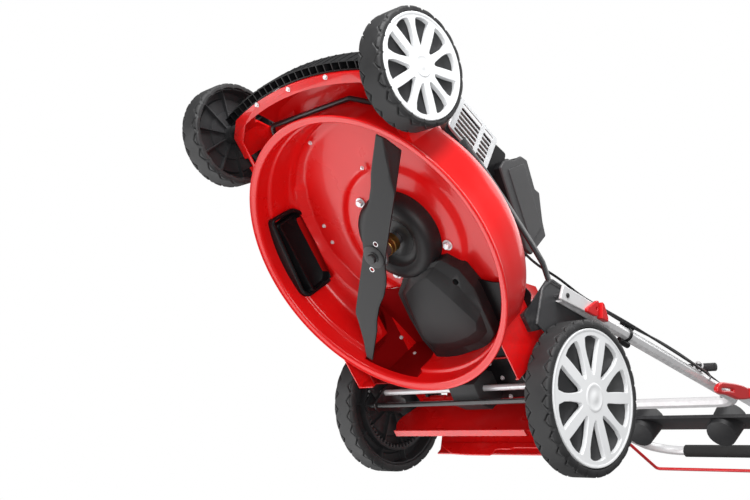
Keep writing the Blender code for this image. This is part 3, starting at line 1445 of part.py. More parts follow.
def make_air_filter():
    """Carburettor, air filter base, its cover and the knob that holds the cover."""
    carb = box("carburettor", (BLOWER_X + GAP, -0.352, 0.268), (0.124, -0.300, 0.330))
    cut(carb, rod("carb_throat", (0.09, -0.326, 0.281), (0.13, -0.326, 0.281), 0.009, 12))
    centre = Vector((0, -0.320, 0.334))
    tilt = math.radians(-6)
    plan = rounded_box(-0.086, 0.086, -0.028, 0.030, 0.012, 3)
    outline = [rotate_plan(p, tilt, centre) for p in plan]
    join(carb, prism("air_filter_base", outline, 0.1235, 0.138, "YZ"))
    paint(carb, DARK_GREY, 0.5)
    small = [rotate_plan((u * 0.90, v * 0.86), tilt, centre) for u, v in plan]
    sections = [
        [(0.1383, *p) for p in outline], [(0.156, *p) for p in outline], [(0.166, *p) for p in small],
    ]
    cover = loft("air_filter_cover", sections)
    paint(cover, BLACK, 0.4)
    y, z = rotate_plan((0.008, 0.0305), tilt, centre)
    knob = turned(
        "filter_knob",
        [(0, 0.020), (0.008, 0.019), (0.011, 0.013), (0.008, 0.004), (0.006, 0.0), (0, 0.0)],
        (0.148, y, z - 0.002),
        (0, -math.sin(tilt), math.cos(tilt)),
        12,
        False,
    )
    join(cover, knob)
    return paint(cover, BLACK, 0.4)


def make_spark_plug():
    """The spark plug in the cylinder's front end and its rubber boot."""
    y = -0.5453
    profile = [
        (0, 0.0), (0.007, 0.0), (0.010, 0.004), (0.010, 0.012), (0.006, 0.014), (0.006, 0.022), (0, 0.022)
    ]
    plug = turned("spark_plug", list(reversed(profile)), (0, y, 0.226), (0, -1, 0), 12, False)
    boot = tube(
        "spark_boot",
        fillet_path([(0, y - 0.0205, 0.226), (0, y - 0.038, 0.226), (0, y - 0.038, 0.262)], 0.010, 3),
        0.0085,
        2,
    )
    join(plug, boot)
    return paint(plug, BLACK, 0.6)


# Handle


def make_lower_handle():
    """The lower U tube: two side tubes from the brackets, joined by the crossbar."""
    corners = [
        handle_point(-LOWER_X, -0.018), handle_point(-LOWER_X, LOWER_END_S),
        handle_point(LOWER_X, LOWER_END_S), handle_point(LOWER_X, -0.018),
    ]
    obj = tube("lower_handle", fillet_path(corners, CROSS_BEND_R, 5), TUBE_R, 2)
    for i, s in enumerate((0.0, LOCK_S)):
        for side in (1, -1):
            p = handle_point(side * LOWER_X, s)
            reach = Vector((0.03, 0, 0))
            cut(obj, rod("pivot_hole_%d%d" % (i, side), p - reach, p + reach, CLAMP_HOLE_R, 12))
    for side in (1, -1):
        p = handle_point(side * LOWER_X, JOINT_S)
        reach = Vector((0.03, 0, 0))
        cut(obj, rod("joint_hole_%d" % side, p - reach, p + reach, CLAMP_HOLE_R, 12))
    join(obj, rope_guide())
    pivot_at(obj, (0, PIVOT_Y, PIVOT_Z))
    return paint(obj, LIGHT_GREY, 0.35, 0.4)


def make_upper_handle():
    """The upper handle: side tubes outside the lower ones and the grip bar at the rear."""
    corners = [
        handle_point(-UPPER_X, UPPER_START_S), handle_point(-UPPER_X, GRIP_S),
        handle_point(UPPER_X, GRIP_S), handle_point(UPPER_X, UPPER_START_S),
    ]
    obj = tube("upper_handle", fillet_path(corners, GRIP_BEND_R, 6), TUBE_R, 2)
    for side in (1, -1):
        p = handle_point(side * UPPER_X, JOINT_S)
        reach = Vector((0.03, 0, 0))
        cut(obj, rod("upper_hole_%d" % side, p - reach, p + reach, CLAMP_HOLE_R, 12))
    pivot_at(obj, handle_point(0, JOINT_S))
    return paint(obj, LIGHT_GREY, 0.35, 0.4)


def handle_axes(side):
    """The handle's own directions at one side: along the tubes, outwards and across."""
    along = handle_point(0, 1) - handle_point(0, 0)
    outward = Vector((side, 0, 0))
    return along, outward, along.cross(outward)


def frame_of(origin, first, second):
    """A placement whose X and Y run along two square directions."""
    third = first.cross(second)
    rows = [(first[i], second[i], third[i], origin[i]) for i in range(3)]
    return Matrix((*rows, (0, 0, 0, 1)))


def clamp_bolt(name, side, s, head_x, pin_x, pin_axis):
    """A bolt along X through the tubes: round head inside, cross pin for its lever outside."""
    p = handle_point(0, s)
    start = Vector((side * head_x, p.y, p.z))
    head = rod(name, start, start + Vector((side * CLAMP_HEAD_T, 0, 0)), CLAMP_HEAD_R, 10)
    pin = Vector((side * pin_x, p.y, p.z))
    join(head, rod(name + "_shank", start + Vector((side * 0.001, 0, 0)), pin, CLAMP_R, 10))
    if pin_axis:
        reach = pin_axis * (CAM_W / 2 - GAP)
        join(head, rod(name + "_pin", pin - reach, pin + reach, CAM_PIN_R, 8))
    return head


def make_cam_lever(name, pin, arm, outward, long):
    """A quick-release lever: a round cam head with a fork for the bolt, and a bowed arm."""
    place = frame_of(pin, arm, outward)
    outline = arc(0, 0, CAM_R, 80, 290, 8) + [
        (long * 0.30, -0.0030), (long * 0.70, 0.0010), (long * 0.96, 0.0060), (long, 0.0100),
        (long * 0.93, 0.0120), (long * 0.60, 0.0100), (long * 0.25, 0.0085),
    ]
    obj = prism(name, outline, -CAM_W / 2, CAM_W / 2)
    free = CLAMP_R + 2 * PIN_FIT
    fork = box(name + "_fork", (-CAM_R - 0.001, -CAM_R - 0.001, -free), (free, free, free))
    hole = rod(name + "_hole", (0, 0, -CAM_W), (0, 0, CAM_W), CAM_PIN_R + PIN_FIT, 8)
    for tool in (obj, fork, hole):
        tool.matrix_basis = place @ tool.matrix_basis
    cut(obj, fork)
    cut(obj, hole)
    return paint(obj, RED, 0.3)


def make_clamps():
    """The cam levers: two on the handle joint's own bolts, two on the brackets' studs."""
    for word, side in (("left", 1), ("right", -1)):
        along, outward, across = handle_axes(side)
        head = LOWER_X - TUBE_R - GAP - CLAMP_HEAD_T
        pin = UPPER_X + TUBE_R + GAP + CAM_R
        bolt = clamp_bolt("joint_bolt_" + word, side, JOINT_S, head, pin, across)
        paint(bolt, STEEL, 0.3, 0.9)
        make_cam_lever("cam_lever_" + word, handle_point(side * pin, JOINT_S), -along, outward, CAM_L)
        p = handle_point(side * LOCK_PIN_X, LOCK_S)
        make_cam_lever("bracket_lever_" + word, p, lock_arm(), outward, LOCK_ARM_L)


def lock_arm():
    """Direction of a bracket's lever at rest: back down the tube and a little below it."""
    along, _, _ = handle_axes(1)
    return Matrix.Rotation(LOCK_ARM_DROP, 3, "X") @ -along


def join_studs(bracket, side):
    """The studs a bracket carries: the handle's pivot and the clamp's threaded stud."""
    across = lock_arm().cross(Vector((side, 0, 0)))
    head = BRACKET_X[0] + GAP - CLAMP_HEAD_T
    join(bracket, clamp_bolt("lock_stud_%d" % side, side, LOCK_S, head, LOCK_PIN_X, across))
    end = LOWER_X + TUBE_R + CLAMP_HEAD_T
    join(bracket, clamp_bolt("pivot_stud_%d" % side, side, 0.0, head, end, None))


def guide_centre():
    return handle_point(LOWER_X, GUIDE_S, TUBE_R + GUIDE_R + GUIDE_WIRE_R / 2)


def rope_guide():
    """The wire ring welded to the left tube for the starter rope."""
    wire = [(GUIDE_R + x, h) for x, h in reversed(ring_points(GUIDE_WIRE_R, 6))]
    return turned("rope_guide", wire, guide_centre(), handle_axes(1)[0], 12)


def make_starter_grip():
    """The starter rope's grip, resting against the ring."""
    along, _, _ = handle_axes(1)
    centre = guide_centre()
    middle = centre + along * (GUIDE_WIRE_R + GAP + PULL_R)
    reach = Vector((PULL_L / 2, 0, 0))
    grip = rod("starter_grip", middle - reach, middle + reach, PULL_R, 12)
    join(grip, rod("grip_stem", centre - along * 0.008, middle, PULL_STEM_R, 8))
    pivot_at(grip, centre)
    return paint(grip, BLACK, 0.5)


def make_tray():
    """The dark tray between the upper tubes with its two cup holders."""
    half = UPPER_X - TUBE_R - GAP
    rows = []
    for s, lift in ((TRAY_S - TRAY_D / 2, -0.004), (TRAY_S + TRAY_D / 2, -0.004),
                    (TRAY_S + TRAY_D / 2, 0.004), (TRAY_S - TRAY_D / 2, 0.004)):
        p = handle_point(0, s, lift)
        rows.append((p.y, p.z))
    obj = prism("cup_tray", rows, -half, half, "YZ")
    for side in (1, -1):
        p = handle_point(side * CUP_X, TRAY_S)
        low = p.z - CUP_DEPTH * 0.68
        high = p.z + CUP_DEPTH * 0.32
        foot_r = CUP_R * CUP_TAPER
        outer = turned(
            "cup_%d" % side,
            [(0, high), (CUP_R, high), (foot_r, low), (0, low)],
            (p.x, p.y, 0),
            steps=CUP_STEPS,
            closed=False,
        )
        join(obj, outer)
        inner = turned(
            "cup_space_%d" % side,
            [
                (0, high + CUP_WALL), (CUP_R - CUP_WALL, high + CUP_WALL),
                (foot_r - CUP_WALL, low + CUP_WALL), (0, low + CUP_WALL),
            ],
            (p.x, p.y, 0),
            steps=CUP_STEPS,
            closed=False,
        )
        cut(obj, inner)
    pivot_at(obj, handle_point(0, JOINT_S))
    return paint(obj, DARK_GREY, 0.55)


def make_grip():
    """The black foam sleeve on the grip bar."""
    half = UPPER_X - GRIP_BEND_R - 0.004
    centre = handle_point(0, GRIP_S)
    profile = [
        (TUBE_R + SLEEVE_T, half), (TUBE_R + SLEEVE_T, -half), (TUBE_R + GAP, -half), (TUBE_R + GAP, half),
    ]
    obj = turned("grip_sleeve", profile, centre, (1, 0, 0), 16)
    return paint(obj, BLACK, 0.85)


def make_bails(handle):
    """The brake bail above the grip bar and the drive bail below it, in blocks on the tubes."""
    for name, s, lift, reach_s, color in (
        ("brake_bail", BAIL_PIVOT_S, 0.026, 0.150, STEEL),
        ("drive_bail", BAIL_PIVOT_S - 0.030, -0.026, 0.160, RED),
    ):
        pivot = handle_point(0, s, lift)
        x = UPPER_X - TUBE_R - 0.014
        away = 0.035 if lift > 0 else -0.035
        corners = [
            handle_point(-x - 0.022, s, lift),
            handle_point(-x, s, lift),
            handle_point(-x, s + reach_s, lift + away),
            handle_point(x, s + reach_s, lift + away),
            handle_point(x, s, lift),
            handle_point(x + 0.022, s, lift),
        ]
        path = [corners[0]] + fillet_path(corners, 0.010, 3)[1:]
        obj = tube(name, path, BAIL_R, 2)
        pivot_at(obj, pivot)
        paint(obj, color, 0.35, 0.5)
        for side in (1, -1):
            a = handle_point(side * (x + 0.020), s, lift)
            join(handle, bail_block("%s_block_%d" % (name, side), a, side, s, lift))


def bail_block(name, at, side, s, lift):
    """A small bearing block under the tube that holds one end of a bail."""
    sign = 1 if lift > 0 else -1
    inner = side * (UPPER_X - TUBE_R - 0.002)
    outer = side * (UPPER_X + 0.004)
    x0, x1 = sorted((inner, outer))
    rows = [
        handle_point(0, s - 0.012, sign * (TUBE_R - 0.003)),
        handle_point(0, s + 0.012, sign * (TUBE_R - 0.003)),
        handle_point(0, s + 0.012, sign * (TUBE_R + 0.022)),
        handle_point(0, s - 0.012, sign * (TUBE_R + 0.022)),
    ]
    block = prism(name, [(p.y, p.z) for p in rows], x0, x1, "YZ")
    reach = Vector((0.020, 0, 0))
    return cut(block, rod(name + "_bore", at - reach, at + reach, BAIL_R + PIN_FIT, 12))


def make_axles():
    make_rear_axle()
    make_axle_bearings()
    make_drive_shaft()


WHEELS = (
    ("rear_left", REAR_HUB, 1, REAR_TYRE_W, REAR_TYRE_R, REAR_RIM_R, REAR_FACE_X),
    ("rear_right", REAR_HUB, -1, REAR_TYRE_W, REAR_TYRE_R, REAR_RIM_R, REAR_FACE_X),
    ("front_left", FRONT_HUB, 1, FRONT_TYRE_W, FRONT_TYRE_R, FRONT_RIM_R, FRONT_FACE_X),
    ("front_right", FRONT_HUB, -1, FRONT_TYRE_W, FRONT_TYRE_R, FRONT_RIM_R, FRONT_FACE_X),
)

for wheel in WHEELS:
    make_wheel(*wheel)
make_axles()
make_deck()
make_bumper()
make_side_door()
make_belt_guard()
make_crank()
make_pulleys()
make_belt()
make_blade()
make_blade_bolt()
make_gearbox()
make_front_axle()
make_brackets()
make_rear_flap()
make_trailing_shield()
make_rear_lever()
make_engine_block()
make_engine_bolts()
make_shroud()
make_starter()
make_tank()
make_oil_cap()
make_muffler()
make_air_filter()
make_spark_plug()
make_lower_handle()
upper = make_upper_handle()
make_clamps()
make_starter_grip()
make_tray()
make_grip()
make_bails(upper)
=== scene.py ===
"""A self-propelled petrol lawn mower, tipped up and seen from below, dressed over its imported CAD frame."""
import json
import math

import bmesh
import bpy
from mathutils import Matrix, Vector


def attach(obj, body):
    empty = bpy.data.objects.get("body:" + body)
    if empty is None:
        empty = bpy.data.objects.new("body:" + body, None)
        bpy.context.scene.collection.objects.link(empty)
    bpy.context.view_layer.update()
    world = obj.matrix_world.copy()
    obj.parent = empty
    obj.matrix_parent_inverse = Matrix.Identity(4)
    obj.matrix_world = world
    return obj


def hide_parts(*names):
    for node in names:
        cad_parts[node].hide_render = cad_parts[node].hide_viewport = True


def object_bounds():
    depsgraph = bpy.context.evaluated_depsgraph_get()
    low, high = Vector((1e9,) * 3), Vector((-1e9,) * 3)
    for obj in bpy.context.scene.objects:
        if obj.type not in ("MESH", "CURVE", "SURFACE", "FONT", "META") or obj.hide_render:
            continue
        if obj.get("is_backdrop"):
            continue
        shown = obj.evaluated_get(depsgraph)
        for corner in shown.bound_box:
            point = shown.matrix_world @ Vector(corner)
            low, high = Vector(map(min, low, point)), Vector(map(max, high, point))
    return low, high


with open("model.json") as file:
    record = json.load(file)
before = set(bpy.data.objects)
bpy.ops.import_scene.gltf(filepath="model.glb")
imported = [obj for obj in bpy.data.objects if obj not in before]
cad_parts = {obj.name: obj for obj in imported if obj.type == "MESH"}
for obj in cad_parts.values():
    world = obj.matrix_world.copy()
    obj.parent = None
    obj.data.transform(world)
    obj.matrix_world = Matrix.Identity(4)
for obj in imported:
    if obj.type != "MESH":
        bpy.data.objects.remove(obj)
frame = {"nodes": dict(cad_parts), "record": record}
cad_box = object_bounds()

# The deck: one steel sheet pressed into a bowl, with a raised apron in front and skirts behind, in red enamel.
# The bowl has a flat ceiling, a stamped ring round the crank, a step that winds inwards towards the rear, a
# shelf outside it, a rounded shoulder, a plain wall with a ledge, and a rolled rim.
REAR_AXLE_Y = 0.005774228
DECK_Y = -0.375
DUST_ROUGHENS, GRAIN_DEPTH = 0.5, 0.0002


def at(x, y, z):
    """A point given from the rear axle's line, in the frame's own place."""
    return Vector((x, y + REAR_AXLE_Y, z))


def new_group(name, inputs, outputs):
    """An empty shader group with its sockets: (name, kind, default)."""
    tree = bpy.data.node_groups.new(name, "ShaderNodeTree")
    for label, kind, default in inputs:
        socket = tree.interface.new_socket(label, in_out="INPUT", socket_type=kind)
        socket.default_value = default
    for label, kind in outputs:
        tree.interface.new_socket(label, in_out="OUTPUT", socket_type=kind)
    return tree, tree.nodes.new("NodeGroupInput"), tree.nodes.new("NodeGroupOutput")


def noise(tree, scale, detail=4.0, rough=0.55, vector=None):
    """A noise texture in a shader tree, read at a vector where one is given."""
    node = tree.nodes.new("ShaderNodeTexNoise")
    node.inputs["Scale"].default_value = scale
    node.inputs["Detail"].default_value = detail
    node.inputs["Roughness"].default_value = rough
    if vector:
        tree.links.new(vector, node.inputs["Vector"])
    return node


def ranged(tree, value, low, high, to_low=0.0, to_high=1.0):
    """A value stretched from one range to another, and held at its ends."""
    node = tree.nodes.new("ShaderNodeMapRange")
    tree.links.new(value, node.inputs["Value"])
    node.inputs["From Min"].default_value = low
    node.inputs["From Max"].default_value = high
    node.inputs["To Min"].default_value = to_low
    node.inputs["To Max"].default_value = to_high
    return node.outputs["Result"]


def maths(tree, kind, a, b):
    """One sum of two terms, each a number or a socket."""
    node = tree.nodes.new("ShaderNodeMath")
    node.operation = kind
    for socket, value in zip(node.inputs, (a, b)):
        if isinstance(value, float):
            socket.default_value = value
        else:
            tree.links.new(value, socket)
    return node.outputs["Value"]


# Edge wear: edges that stick out, broken up by noise
wear_group, wear_in, wear_out = new_group(
    "edge_wear", [("Amount", "NodeSocketFloat", 0.5)], [("Mask", "NodeSocketFloat")]
)
geometry = wear_group.nodes.new("ShaderNodeNewGeometry")
coords = wear_group.nodes.new("ShaderNodeTexCoord")
edge = ranged(wear_group, geometry.outputs["Pointiness"], 0.53, 0.60)
spots = noise(wear_group, 90.0, 5.0, 0.6, coords.outputs["Object"])
broken = ranged(wear_group, spots.outputs["Fac"], 0.42, 0.62)
worn = maths(wear_group, "MULTIPLY", edge, broken)
wear_group.links.new(maths(wear_group, "MULTIPLY", worn, wear_in.outputs["Amount"]), wear_out.inputs["Mask"])

# Mottle: slow tone changes and fine speckle of a moulded or painted surface
mottle_group, mottle_in, mottle_out = new_group(
    "mottle",
    [("Scale", "NodeSocketFloat", 8.0)],
    [("Tone", "NodeSocketFloat"), ("Speckle", "NodeSocketFloat")],
)
coords = mottle_group.nodes.new("ShaderNodeTexCoord")
slow = noise(mottle_group, 8.0, 3.0, 0.5, coords.outputs["Object"])
mottle_group.links.new(mottle_in.outputs["Scale"], slow.inputs["Scale"])
mottle_group.links.new(ranged(mottle_group, slow.outputs["Fac"], 0.35, 0.65), mottle_out.inputs["Tone"])
fine = noise(mottle_group, 420.0, 3.0, 0.6, coords.outputs["Object"])
mottle_group.links.new(fine.outputs["Fac"], mottle_out.inputs["Speckle"])

# Dust: a thin film in patchy places
dust_group, dust_in, dust_out = new_group(
    "dust_film", [("Amount", "NodeSocketFloat", 0.2)], [("Mask", "NodeSocketFloat")]
)
coords = dust_group.nodes.new("ShaderNodeTexCoord")
clouds = noise(dust_group, 22.0, 6.0, 0.65, coords.outputs["Object"])
patch = ranged(dust_group, clouds.outputs["Fac"], 0.45, 0.75)
dust_group.links.new(maths(dust_group, "MULTIPLY", patch, dust_in.outputs["Amount"]), dust_out.inputs["Mask"])


def mix_color(tree, fac, a, b):
    """A blend of two colours, each a plain tuple or a socket."""
    node = tree.nodes.new("ShaderNodeMix")
    node.data_type = "RGBA"
    tree.links.new(fac, node.inputs["Factor"])
    for socket, value in ((node.inputs[6], a), (node.inputs[7], b)):
        if isinstance(value, tuple):
            socket.default_value = (*value, 1.0)
        else:
            tree.links.new(value, socket)
    return node.outputs[2]


def effect(tree, group, setting, amount):
    """Places a shader group in a material with its one setting, and gives its outputs."""
    node = tree.nodes.new("ShaderNodeGroup")
    node.node_tree = group
    node.inputs[setting].default_value = amount
    return node.outputs


def surface(name, color, other, rough, spread=0.08, metal=0.0, coat=0.0, coat_rough=0.05,
            grain=(420.0, 0.02), mottle=8.0, wear=None, dust=None, specular=0.5):
    """A procedural surface: two tones, fine grain, optional worn edges and dust."""
    mat = bpy.data.materials.new(name)
    mat.use_nodes = True
    tree = mat.node_tree
    shader = tree.nodes["Principled BSDF"]
    shader.inputs["Metallic"].default_value = metal
    shader.inputs["Coat Weight"].default_value = coat
    shader.inputs["Coat Roughness"].default_value = coat_rough
    shader.inputs["Specular IOR Level"].default_value = specular
    tone = effect(tree, mottle_group, "Scale", mottle)["Tone"]
    shade = mix_color(tree, tone, color, other)
    roughness = ranged(tree, tone, 0.0, 1.0, rough, rough + spread)
    if wear:
        shade = mix_color(tree, effect(tree, wear_group, "Amount", wear[1])["Mask"], shade, wear[0])
    if dust:
        film = effect(tree, dust_group, "Amount", dust[1])["Mask"]
        shade = mix_color(tree, film, shade, dust[0])
        roughness = maths(tree, "ADD", roughness, maths(tree, "MULTIPLY", film, DUST_ROUGHENS))
    tree.links.new(shade, shader.inputs["Base Color"])
    tree.links.new(roughness, shader.inputs["Roughness"])
    coords = tree.nodes.new("ShaderNodeTexCoord")
    speck = noise(tree, grain[0], 3.0, 0.6, coords.outputs["Object"])
    bump = tree.nodes.new("ShaderNodeBump")
    bump.inputs["Strength"].default_value = grain[1] * 10
    bump.inputs["Distance"].default_value = GRAIN_DEPTH
    tree.links.new(speck.outputs["Fac"], bump.inputs["Height"])
    tree.links.new(bump.outputs["Normal"], shader.inputs["Normal"])
    return mat


deck_red = surface(
    "deck_red", (0.84, 0.007, 0.007), (0.78, 0.005, 0.006), 0.26, 0.05, coat=0.30, coat_rough=0.07,
    grain=(160.0, 0.008), mottle=4.0, wear=((0.45, 0.02, 0.02), 0.25), dust=((0.55, 0.06, 0.05), 0.04),
    specular=0.35,
)


def link(name, data):
    """A new object in the scene that holds a mesh, a curve, a lamp or a camera."""
    obj = bpy.data.objects.new(name, data)
    bpy.context.scene.collection.objects.link(obj)
    return obj


def from_bmesh(name, bm):
    """A new object from a finished bmesh, which is freed."""
    mesh = bpy.data.meshes.new(name)
    bm.to_mesh(mesh)
    bm.free()
    return link(name, mesh)


def evaluated(obj):
    """A new mesh of an object with its modifiers or its curve's thickness applied."""
    bpy.context.view_layer.update()
    graph = bpy.context.evaluated_depsgraph_get()
    return bpy.data.meshes.new_from_object(obj.evaluated_get(graph))


def settle(obj, mat, body, nodes=(), smooth=35.0):
    """Turns an object into a finished mesh at the origin that rides on a CAD body."""
    mesh = evaluated(obj)
    mesh.transform(obj.matrix_world)
    if obj.type == "MESH":
        obj.modifiers.clear()
        obj.data = mesh
        obj.parent = None
        obj.matrix_world = Matrix.Identity(4)
    else:
        name = obj.name
        bpy.data.objects.remove(obj, do_unlink=True)
        obj = link(name, mesh)
    obj.data.materials.clear()
    for one in mat if isinstance(mat, (list, tuple)) else [mat]:
        obj.data.materials.append(one)
    bpy.ops.object.select_all(action="DESELECT")
    obj.select_set(True)
    bpy.context.view_layer.objects.active = obj
    bpy.ops.object.shade_smooth_by_angle(angle=math.radians(smooth))
    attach(obj, body)
    if nodes:
        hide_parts(*nodes)
    return obj


def skin(name, rows, loop=False, caps=()):
    """A mesh through closed rows of points: loop joins the last row to the first, caps fill rows."""
    bm = bmesh.new()
    rings = [[bm.verts.new(point) for point in row] for row in rows]
    pairs = list(zip(rings, rings[1:]))
    if loop:
        pairs.append((rings[-1], rings[0]))
    for one, two in pairs:
        for i in range(len(one)):
            j = (i + 1) % len(one)
            bm.faces.new((one[i], one[j], two[j], two[i]))
    for k in caps:
        bm.faces.new(rings[k])
    bmesh.ops.remove_doubles(bm, verts=bm.verts, dist=0.000001)
    bmesh.ops.recalc_face_normals(bm, faces=bm.faces)
    return from_bmesh(name, bm)


def lathe(name, profile, steps=96):
    """A turned mesh about X: profile is a closed line of (x, radius)."""
    rows = []
    for k in range(steps):
        angle = 2 * math.pi * k / steps
        c, s = math.cos(angle), math.sin(angle)
        rows.append([(x, r * c, r * s) for x, r in profile])
    return skin(name, rows, loop=True)


def spindle(name, profile, steps, x=0.0, y=DECK_Y):
    """A turned mesh that stands upright, on the crank's line by default: profile is (height, radius)."""
    obj = lathe(name, profile, steps)
    obj.matrix_world = Matrix.Translation(at(x, y, 0)) @ Matrix.Rotation(math.radians(-90), 4, "Y")
    return obj


def merged(name, parts, mat, body, nodes=(), smooth=35.0):
    """Several finished-shape objects as one piece that rides on a CAD body."""
    bm = bmesh.new()
    for part in parts:
        mesh = evaluated(part)
        mesh.transform(part.matrix_world)
        if part.matrix_world.determinant() < 0:
            mesh.flip_normals()
        bm.from_mesh(mesh)
    for part in parts:
        bpy.data.objects.remove(part, do_unlink=True)
    return settle(from_bmesh(name, bm), mat, body, nodes, smooth)


def copy_of(node, ending="_copy"):
    """A copy of a CAD node's mesh with its coplanar triangles merged."""
    bm = bmesh.new()
    bm.from_mesh(frame["nodes"][node].data)
    bmesh.ops.remove_doubles(bm, verts=bm.verts, dist=0.00001)
    bmesh.ops.dissolve_limit(bm, angle_limit=math.radians(1.0), verts=bm.verts, edges=bm.edges)
    return from_bmesh(node + ending, bm)


def soften(obj, width, angle):
    """Rounds an object's edges that are sharper than an angle in degrees."""
    mod = obj.modifiers.new("soft_edges", "BEVEL")
    mod.width = width
    mod.segments = 2
    mod.limit_method = "ANGLE"
    mod.angle_limit = math.radians(angle)
    return obj


def block(name, low, high):
    """A plain box between two corners given from the rear axle's line, for cutting with."""
    low, high = at(*low), at(*high)
    bpy.ops.mesh.primitive_cube_add(size=1.0, location=(low + high) / 2)
    obj = bpy.context.object
    obj.name = name
    obj.scale = high - low
    return obj


def carve(obj, cutter):
    """Cuts one object out of another with an exact Boolean and deletes the cutter."""
    mod = obj.modifiers.new("carve", "BOOLEAN")
    mod.operation = "DIFFERENCE"
    mod.solver = "EXACT"
    mod.object = cutter
    mesh = evaluated(obj)
    obj.modifiers.clear()
    obj.data = mesh
    bpy.data.objects.remove(cutter, do_unlink=True)
    return obj


STEP_LINE = [
    (-180, 0.2220), (-170, 0.2270), (-160, 0.2330), (-150, 0.2400), (-140, 0.2470), (-132, 0.2510),
    (-124, 0.2550), (-119, 0.2560), (-115, 0.2470), (-105, 0.2450), (-90, 0.2440), (-60, 0.2440), (0, 0.2440),
    (60, 0.2440), (100, 0.2400), (120, 0.2260), (135, 0.2090), (148, 0.2000), (162, 0.2090), (180, 0.2220),
]
FRONT_DENT = 0.0048


def step_radius(angle):
    """The radius of the ceiling's step at an angle in degrees."""
    for (a0, r0), (a1, r1) in zip(STEP_LINE, STEP_LINE[1:]):
        if a0 <= angle <= a1:
            f = (angle - a0) / (a1 - a0)
            return r0 + (r1 - r0) * f * f * (3 - 2 * f)
    return STEP_LINE[-1][1]


def bowl_line(angle):
    """The bowl's closed section at an angle: its inner face out to the rim, then its outer face back."""
    step = min(step_radius(angle), 0.2500)
    shelf = 0.1500 if step < 0.2435 else 0.1560
    slope = min(0.0130, 0.2545 - step)
    inside = [
        (0.0345, 0.1590), (0.1240, 0.1590), (0.1290, 0.1597), (0.1330, 0.1612), (0.1380, 0.1648),
        (0.1425, 0.1660), (0.1490, 0.1668), (0.1550, 0.1663), (0.1600, 0.1660), (step - 0.012, 0.1660),
        (step - 0.0070, 0.1656), (step - 0.0040, 0.1645), (step + slope * 0.58, shelf + 0.0020),
        (step + slope * 0.80, shelf + 0.0006), (step + slope, shelf - 0.0002),
    ]
    reach = 0.2555 - (step + slope)
    inside += [
        (step + slope + reach * 0.55, shelf - 0.0040), (0.2555, 0.1440), (0.2595, 0.1405), (0.2622, 0.1350),
        (0.2632, 0.1280), (0.2632, 0.0930), (0.2636, 0.0900), (0.2662, 0.0878), (0.2688, 0.0866),
        (0.2700, 0.0840), (0.2704, 0.0590), (0.2712, 0.0556), (0.2734, 0.0536), (0.2780, 0.0530),
        (0.2825, 0.0522), (0.2836, 0.0508), (0.2846, 0.0504), (0.2856, 0.0510), (0.2859, 0.0530),
    ]
    # The wall is drawn in at the front, where the front axle swings up to it
    dent = FRONT_DENT * max(0.0, min(1.0, (24 - abs(angle + 90)) / 6))
    outside = [
        (0.2850, 0.0556), (0.2820, 0.0566), (0.2790, 0.0580), (0.2772 - dent, 0.0605), (0.2764 - dent, 0.0660),
        (0.2758 - dent, 0.0900), (0.2754 - dent, 0.1200), (0.2742 - dent, 0.1340), (0.2705, 0.1455),
        (0.2640, 0.1540), (0.2560, 0.1605), (0.2480, 0.1650), (0.2380, 0.1682), (0.0345, 0.1682),
    ]
    return inside + outside


def bowl(name, steps):
    """The whole bowl, swept about the crank's line."""
    rows = []
    for k in range(steps):
        angle = -180 + 360 * k / steps
        c, s = math.cos(math.radians(angle)), math.sin(math.radians(angle))
        rows.append([at(r * c, DECK_Y + r * s, z) for r, z in bowl_line(angle)])
    return skin(name, rows, loop=True)


shell = bowl("deck_bowl", 288)
carve(shell, block("side_port", (-0.290, -0.4760, 0.0850), (-0.232, -0.3140, 0.1530)))
carve(shell, block("ramp_mouth", (-0.1645, -0.2600, 0.0700), (-0.0505, -0.0800, 0.2000)))
rest = copy_of("deck_housing")
carve(rest, block("skirt_gap", (-0.165, -0.1150, 0.030), (0.199, -0.0850, 0.1280)))
carve(rest, block("ramp_space", (-0.1680, -0.2600, 0.1400), (-0.0505, -0.0850, 0.1850)))
carve(rest, spindle("bowl_core", [
    (0.030, 0.0), (0.1684, 0.0), (0.1684, 0.240), (0.1540, 0.2645), (0.1340, 0.2748), (0.0560, 0.2765),
    (0.0560, 0.2862), (0.030, 0.2862),
], 144))
soften(rest, 0.0012, 32)
merged("deck_shell", [shell, rest], deck_red, "chassis", ["deck_housing"], 32)

# The ramp: the recess that leads the clippings up and back to the outlet. It is a folded steel channel with a
# sloping roof, an end wall and two cheeks, welded into the deck. Its red is far darker than the deck's, as
# painted shade for the recess, with little sheen.
ramp_red = surface(
    "ramp_red", (0.30, 0.003, 0.004), (0.24, 0.002, 0.003), 0.52, 0.08, grain=(200.0, 0.02),
    dust=((0.26, 0.02, 0.02), 0.06), specular=0.08,
)


def draw_line(data, points, closed):
    """Adds a line of 2-D or 3-D points to a curve."""
    spline = data.splines.new("POLY")
    spline.points.add(len(points) - 1)
    for spot, point in zip(spline.points, points):
        spot.co = (*point, 0, 1) if len(point) == 2 else (*point, 1)
    spline.use_cyclic_u = closed


def plate(name, outline, holes=(), depth=0.002, bevel=0.0, segments=2):
    """A flat plate in its own XY plane, from a filled curve with soft edges."""
    data = bpy.data.curves.new(name, "CURVE")
    data.dimensions = "2D"
    data.fill_mode = "BOTH"
    data.extrude = depth / 2 - bevel
    data.bevel_depth = bevel
    data.bevel_resolution = segments
    data.offset = -bevel
    for line in (outline, *holes):
        draw_line(data, line, True)
    return link(name, data)


def axes(place, x, y, z):
    """The placing matrix of a point and three unit axes."""
    return Matrix.Translation(place) @ Matrix((x, y, z)).transposed().to_4x4()


def placed(obj, centre, x_axis, y_axis):
    """Sets an object's own X and Y along two directions at a point."""
    x, y = Vector(x_axis).normalized(), Vector(y_axis).normalized()
    obj.matrix_world = axes(centre, x, y, x.cross(y))
    bpy.context.view_layer.update()
    return obj


